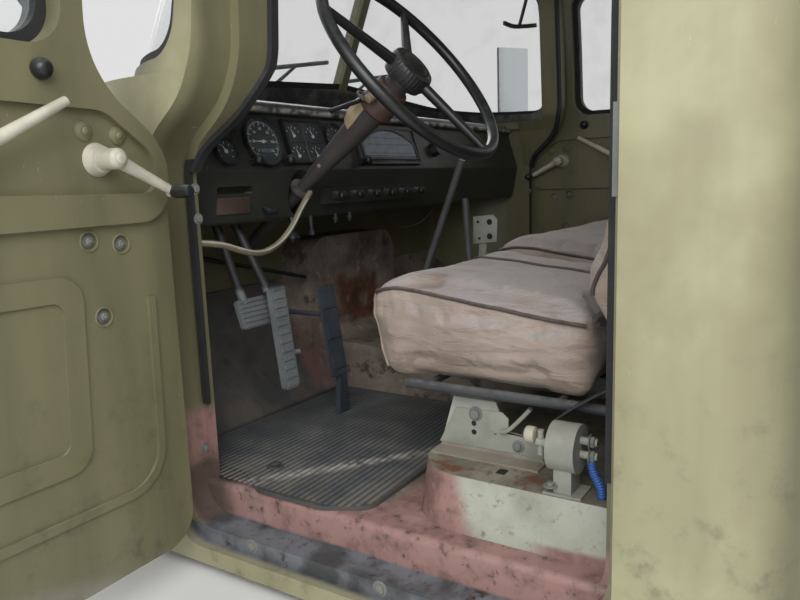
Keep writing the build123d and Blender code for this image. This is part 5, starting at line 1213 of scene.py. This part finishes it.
hanging = [
    rod_form((467, -398, 641), (467, -397, 604), 8.0, 7.0),
    turned_form(
        [(0, 4), (2, 9.5), (7, 15), (14, 17.5), (21, 15.5), (27, 9.5), (29, 4)],
        (467, -397, 607), (0, 0, -1), 28,
    ),
]
piece("dash_underside_ball", joined(hanging), "black", slot="black_plastic")
plugs = [
    rod_form((398, -398, 640), (398, -396, 600), 5.0),
    bolt_form((398, -396, 604), (0, 0, -1), 8.0, 9.0, 10.0),
    rod_form((300, -398, 640), (300, -398, 616), 4.0), rod_form((300, -398, 630), (300, -398, 623), 7.0),
    rod_form((240, -398, 640), (240, -398, 618), 4.0), rod_form((240, -398, 632), (240, -398, 625), 7.0),
]
piece("dash_underside_plugs", joined(plugs), "steel")
piece("accelerator_rod", rod_form((540, -669, 548), (234, -562, 462), 6.0), "black", slot="black_steel")
post = smooth_path([(14, -132, 262), (14, -131, 380), (14, -128, 500), (14, -124, 560)], 4)
plate = [(20.0, a, b) for a, b in ((-152, 541), (-82, 548), (-80, 606), (-92, 619), (-150, 614))]
guide = [carried(post, box_outline(8.0, 22.0), (0, 1, 0)), slab_form(plate, 4.0, (1, 0, 0), 1.0)]
piece("lever_guide_plate", joined(guide), "bare")
guide_holes = [
    turned_form([(0, r), (0.6, r - 0.3)], (24.0, a, b), (1, 0, 0), 20)
    for a, b, r in ((-102, 600, 8.0), (-102, 562, 8.0), (-136, 600, 4.0), (-132, 556, 4.0))
]
piece("lever_guide_holes", joined(guide_holes), "dial")
post_bolts = [
    bolt_form(place, (0, 1, 0), 7.0, 5.0, 11.0)
    for place in ((810, -331, 714), (808, -331, 658), (820, -351, 206))
]
ledge_bolts = [bolt_form((878, y, 68), (1, 0, 0), 9.0, 3.8, 14.0, 0.2) for y in (-180.0, 101.0, 300.0)]
striker = [(878, y, z) for y, z in ((466, 690), (466, 800), (476, 800), (476, 690))]
for side, turn in (("left", None), ("right", mirrored)):
    piece(side + "_post_bolts", joined(post_bolts), "bolt", turn=turn)
    piece(side + "_ledge_bolts", joined(ledge_bolts), "bolt", turn=turn)
    piece(side + "_striker_plate", slab_form(striker, 3.0, (1, 0, 0), 0.8), "bolt", turn=turn)
visor_arm = smooth_path([(-706, -296, 1372), (-716, -300, 1330), (-724, -318, 1280), (-728, -334, 1236)], 8)
visor_bar = smooth_path([(-640, -352, 1236), (-700, -343, 1233), (-760, -322, 1240), (-800, -300, 1246)], 6)
visor = [
    carried(visor_arm, round_outline(6.0, 12), (1, 0, 0)),
    carried(visor_bar, box_outline(9.0, 14.0), (0, 0, 1)),
    turned_form([(0, 18), (3, 19), (5, 16)], (-706, -296, 1372), (0, 0, -1), 20),
]
piece("sun_visor_bracket", joined(visor), "steel")

# ---------------------------------------------------------------- seats


LOOSE_TRIANGLES = 1e-5
CLOTH_STEPS = 20
CLOTH_PRESSURE = 4.0
PIPING_SINK = 0.3


def join_loose(source, name):
    """A copy of a CAD node's mesh as a new object, its loose triangles merged."""
    copy = show(name, source.data.copy())
    outward(copy.data, LOOSE_TRIANGLES)
    return copy


def coordinates(mesh):
    values = np.empty(len(mesh.vertices) * 3, np.float32)
    mesh.vertices.foreach_get("co", values)
    return values.reshape(-1, 3).astype(float)


def applied(obj):
    """The object's mesh with its modifiers worked out, and the modifiers gone."""
    bpy.context.view_layer.update()
    worked_out = obj.evaluated_get(bpy.context.evaluated_depsgraph_get())
    result = bpy.data.meshes.new_from_object(worked_out)
    obj.modifiers.clear()
    obj.data = result


def stuffed(node, name, voxel, inset, cap, keep_in, creases):
    """A padded piece: the CAD solid shrunk by inset, remeshed, blown up as cloth, then creased.

    No point moves out by more than cap, and keep_in holds it off what it rests on; all in millimetres.
    """
    pad = join_loose(frame["nodes"][node], name)
    low, high = (np.array(v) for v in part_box(node))
    middle, half = (low + high) / 2, (high - low) / 2
    points = coordinates(pad.data)
    points = middle + (points - middle) * (1 - inset * MM / half)
    pad.data.vertices.foreach_set("co", points.astype(np.float32).ravel())
    remesh = pad.modifiers.new("remesh", "REMESH")
    remesh.mode, remesh.voxel_size = "VOXEL", voxel * MM
    applied(pad)
    before = coordinates(pad.data)
    cloth = pad.modifiers.new("cloth", "CLOTH")
    cloth.settings.use_pressure = True
    cloth.settings.uniform_pressure_force = CLOTH_PRESSURE
    cloth.settings.effector_weights.gravity = 0
    cloth.settings.quality = 4
    cloth.point_cache.frame_end = 24
    scene = bpy.context.scene
    for step in range(1, CLOTH_STEPS + 1):
        scene.frame_set(step)
    applied(pad)
    scene.frame_set(1)
    after = coordinates(pad.data)
    moved = after - before
    reach = np.linalg.norm(moved, axis=1, keepdims=True)
    after = before + moved * np.minimum(1, cap * MM / np.maximum(reach, 1e-9))
    after = keep_in(after, low, high)
    pad.data.vertices.foreach_set("co", after.astype(np.float32).ravel())
    smooth = pad.modifiers.new("smooth", "SUBSURF")
    smooth.levels = smooth.render_levels = 1
    applied(pad)
    final = coordinates(pad.data)
    normals = np.empty(len(final) * 3, np.float32)
    pad.data.vertices.foreach_get("normal", normals)
    final = final + normals.reshape(-1, 3) * creases(final / MM, low / MM, high / MM)[:, None] * MM
    final = keep_in(final, low, high)
    pad.data.vertices.foreach_set("co", final.astype(np.float32).ravel())
    pad.data.polygons.foreach_set("use_smooth", [True] * len(pad.data.polygons))
    pad.data.materials.clear()
    pad.data.materials.append(finishes["seat"].material)
    pad.parent = None
    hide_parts(node)
    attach(pad, "cab")
    return pad


def cushion_creases(p, low, high):
    """Folds of a cushion: long creases round its sides and front, shallow pulls on its top."""
    x, y, z = p.T
    side = np.clip((np.abs(x - (low[0] + high[0]) / 2) - ((high[0] - low[0]) / 2 - 26)) / 16, 0, 1)
    front = np.clip((low[1] + 42 - y) / 22, 0, 1)
    skirt = np.maximum(side, front) * (z < high[2] - 40)
    run = np.where(side > front, y, x)
    waves = 1.6 * np.sin(z / 9.0 + 1.8 * np.sin(run / 61.0) + run / 95.0)
    waves = waves + 1.1 * np.sin(z / 5.0 - run / 37.0)
    top = (z > high[2] - 60) & (skirt <= 0)
    pulls = 1.6 * np.sin(x / 33.0 + 1.4 * np.sin(y / 70.0)) * np.sin(y / 96.0)
    pulls = pulls + 0.9 * np.sin(y / 17.0 + x / 60.0)
    return skirt * waves * 0.8 + top * pulls * 0.7


def backrest_creases(p, low, high):
    """Folds of a backrest: shallow level pulls that fade towards its edges."""
    x, y, z = p.T
    inside = np.clip((high[0] - 60 - np.abs(x)) / 60, 0.4, 1)
    return 1.1 * np.sin(z / 13.0 + 1.5 * np.sin(x / 85.0)) + 0.6 * np.sin(z / 6.5 + x / 47.0) * inside


def keep_cushion(p, low, high):
    """A cushion stays over its frame, in front of its backrest, and inside its own width and height."""
    return np.clip(p, low - np.array((0.0, 0.006, 0.0)), high + np.array((0.0, -0.0004, 0.004)))


def keep_backrest(p, low, high):
    """A backrest stays inside its own box, and above the cushion where it leans over it."""
    return np.clip(p, low + np.array((0.0, 0.0, 0.0005)), high + np.array((0.0, 0.0, 0.002)))


driver_cushion, passenger_cushion, driver_back, passenger_back = (
    stuffed(node, name, voxel, inset, cap, keep_in, creases)
    for node, name, voxel, inset, cap, keep_in, creases in (
        ("driver_cushion", "driver_seat_cushion", 6.0, 4.0, 13.0, keep_cushion, cushion_creases),
        ("passenger_cushion", "passenger_seat_cushion", 8.0, 4.0, 13.0, keep_cushion, cushion_creases),
        ("driver_backrest", "driver_seat_back", 6.0, 8.0, 14.0, keep_backrest, backrest_creases),
        ("passenger_backrest", "passenger_seat_back", 8.0, 8.0, 14.0, keep_backrest, backrest_creases),
    )
)


def piping(name, pad, route, radius, finish):
    """A cord of piping on a pad: the route's points drop to its nearest surface, a tube follows them."""
    path = smooth_path(route, 14)
    nearest = [pad.closest_point_on_mesh(Vector(p * MM)) for p in path]
    on = np.array([hit[1] for hit in nearest]) / MM
    out = np.array([hit[2] for hit in nearest])
    on = on + out * radius * (1 - PIPING_SINK)
    kernel = np.array((1, 2, 3, 2, 1)) / 9.0
    padded = np.vstack([on[0], on[0], on, on[-1], on[-1]])
    on = np.stack([np.convolve(padded[:, k], kernel, "valid") for k in range(3)], -1)
    travel = unit(np.gradient(on, axis=0))
    side = unit(np.cross(travel, out))
    rise = np.cross(side, travel)
    ring = round_outline(radius, 10)
    grid = on[:, None] + ring[None, :, 0, None] * side[:, None] + ring[None, :, 1, None] * rise[:, None]
    piece(name, sheet_of(grid), finish, "cab", "seat_cover")


def top_seam(x0, x1, rise):
    """The seam round a cushion's top, a little in from its edges."""
    left, right = x0 + 7, x1 - 7
    side = ((-20, 524), (60, 534), (150, 519), (250, 503), (330, 492), (380, 487))
    front = [(x, -40, 533 + rise) for x in np.linspace(right - 30, left + 30, 7)]
    forward = [(right, y, z + rise) for y, z in reversed(side)]
    return forward + front + [(left, y, z + rise) for y, z in side]


DRIVER_SEAT, PASSENGER_SEAT = ("driver", 200.0, 700.0, 0.0), ("passenger", -760.0, 170.0, 22.0)
CORNER_FALL = ((-14, -38, 525), (-13, -32, 490), (-12, -22, 440), (-11, -12, 395), (-11, -6, 374))
BACK_EDGE = ((4, 376, 530), (4, 396, 620), (4, 436, 740), (4, 476, 860), (6, 506, 950))

for pad, (name, x0, x1, rise) in ((driver_cushion, DRIVER_SEAT), (passenger_cushion, PASSENGER_SEAT)):
    piping(name + "_cushion_piping", pad, top_seam(x0, x1, rise), 3.4, "piping")
    corner = [(x1 + x, y, z + rise) for x, y, z in CORNER_FALL]
    piping(name + "_cushion_corner_seam", pad, corner, 2.6, "pale_piping")
middle = [(392, -30, 560), (392, 60, 556), (390, 150, 545), (388, 250, 530), (386, 340, 515)]
piping("driver_cushion_middle_seam", driver_cushion, middle, 2.8, "piping")
for pad, (name, x0, x1, rise) in ((driver_back, DRIVER_SEAT), (passenger_back, PASSENGER_SEAT)):
    edge = [(x1 - x, y, z + rise) for x, y, z in BACK_EDGE]
    edge += [(x, 512, 985 + rise) for x in np.linspace(x1 - 40, x0 + 40, 7)]
    edge += [(x0 + x, y, z + rise) for x, y, z in reversed(BACK_EDGE)]
    piping(name + "_backrest_piping", pad, edge, 3.4, "piping")

# ---------------------------------------------------------------- under the driver's seat

BRACKET_EDGE = ((96, 246), (131, 315), (220, 318), (232, 308), (231, 281), (276, 279), (297, 248))
bracket = [(660.2, y, z) for y, z in BRACKET_EDGE]
piece("seat_bracket_face", slab_form(bracket, 2.0, (1, 0, 0), 0.8), "bare")
bracket_bolts = [
    bolt_form((662.2, 170, 308), (1, 0, 0), 9.0, 6.0, 13.0),
    bolt_form((662.2, 250, 262), (1, 0, 0), 7.0, 5.0, 11.0),
]
piece("seat_bracket_bolts", joined(bracket_bolts), "bolt")
lever = smooth_path([(664, 220, 285), (668, 236, 292), (668, 256, 312), (666, 274, 333)], 6)
piece("seat_adjuster_lever", carried(lever, box_outline(7, 12), (1, 0, 0)), "bare")
slot_faces = [turned_form([(0, 5.0), (0.5, 4.6)], (662.2, 166, z), (1, 0, 0), 16) for z in (290.0, 274.0)]
piece("seat_bracket_holes", joined(slot_faces), "dial")
switch_profile = [(0, 9), (1, 12.5), (6, 13.5), (14, 13), (17, 10.5), (18.5, 6)]
knob = turned_form(switch_profile, (738, 312, 318), (0, -1, 0), 28)
piece("battery_switch_knob", knob, "cream", slot="cream_plastic")
studs = [
    bolt_form((738, 398, 322), (0, 1, 0), 9.0, 7.0, 12.0),
    bolt_form((738, 398, 300), (0, 1, 0), 9.0, 7.0, 12.0),
    bolt_form((762, 345, 250), (0, 0, 1), 7.0, 5.0, 11.0),
]
piece("battery_switch_nuts", joined(studs), "bolt", slot="black_plastic")
strap = smooth_path(
    [(716, 338, 342), (712, 356, 357), (708, 380, 374), (704, 404, 390), (702, 424, 402)], 5
)
piece("seat_strap", carried(strap, box_outline(3.0, 26.0), (1, 0, 0)), "black", slot="black_plastic")
slot_edge = [(706, 236, 235.4), (726, 236, 235.4), (726, 252, 235.4), (706, 252, 235.4)]
piece("podium_slot", slab_form(slot_edge, 0.6, (0, 0, 1), 0.4), "dial", slot="primer_floor")

# ---------------------------------------------------------------- surroundings

FLOOR_REACH = 40

low = min(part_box(n)[0][2] for n in frame["nodes"])
corners = [(x * FLOOR_REACH, y * FLOOR_REACH, low - 0.001) for x, y in ((-1, -1), (1, -1), (1, 1), (-1, 1))]
floor_mesh = bpy.data.meshes.new("floor")
floor_mesh.from_pydata(corners, [], [(0, 1, 2, 3)])
floor = show("floor", floor_mesh)
pale = Finish("studio_floor", Roughness=0.75)
pale.shader.inputs["Base Color"].default_value = ink(226, 226, 224)
floor_mesh.materials.append(pale.material)

world = bpy.data.worlds.new("studio")
bpy.context.scene.world = world
world.use_nodes = True
background = world.node_tree.nodes["Background"]
background.inputs["Color"].default_value = (1, 1, 1, 1)
background.inputs["Strength"].default_value = 0.75
for place, aim, size, power in (
    ((3.0, 2.4, 3.2), (0.4, 0.0, 0.6), 2.4, 56.0),
    ((2.4, 0.6, 1.5), (0.4, -0.3, 0.4), 1.4, 22.0),
    ((-2.6, -2.8, 2.8), (0.0, 0.0, 0.8), 2.4, 60.0),
):
    lamp = show("softbox", bpy.data.lights.new("softbox", "AREA"))
    lamp.data.size = size
    lamp.data.energy = power
    lamp.location = place
    lamp.rotation_euler = (Vector(aim) - Vector(place)).to_track_quat("-Z", "Y").to_euler()

bpy.context.scene.view_settings.view_transform = "Standard"
bpy.context.view_layer.update()
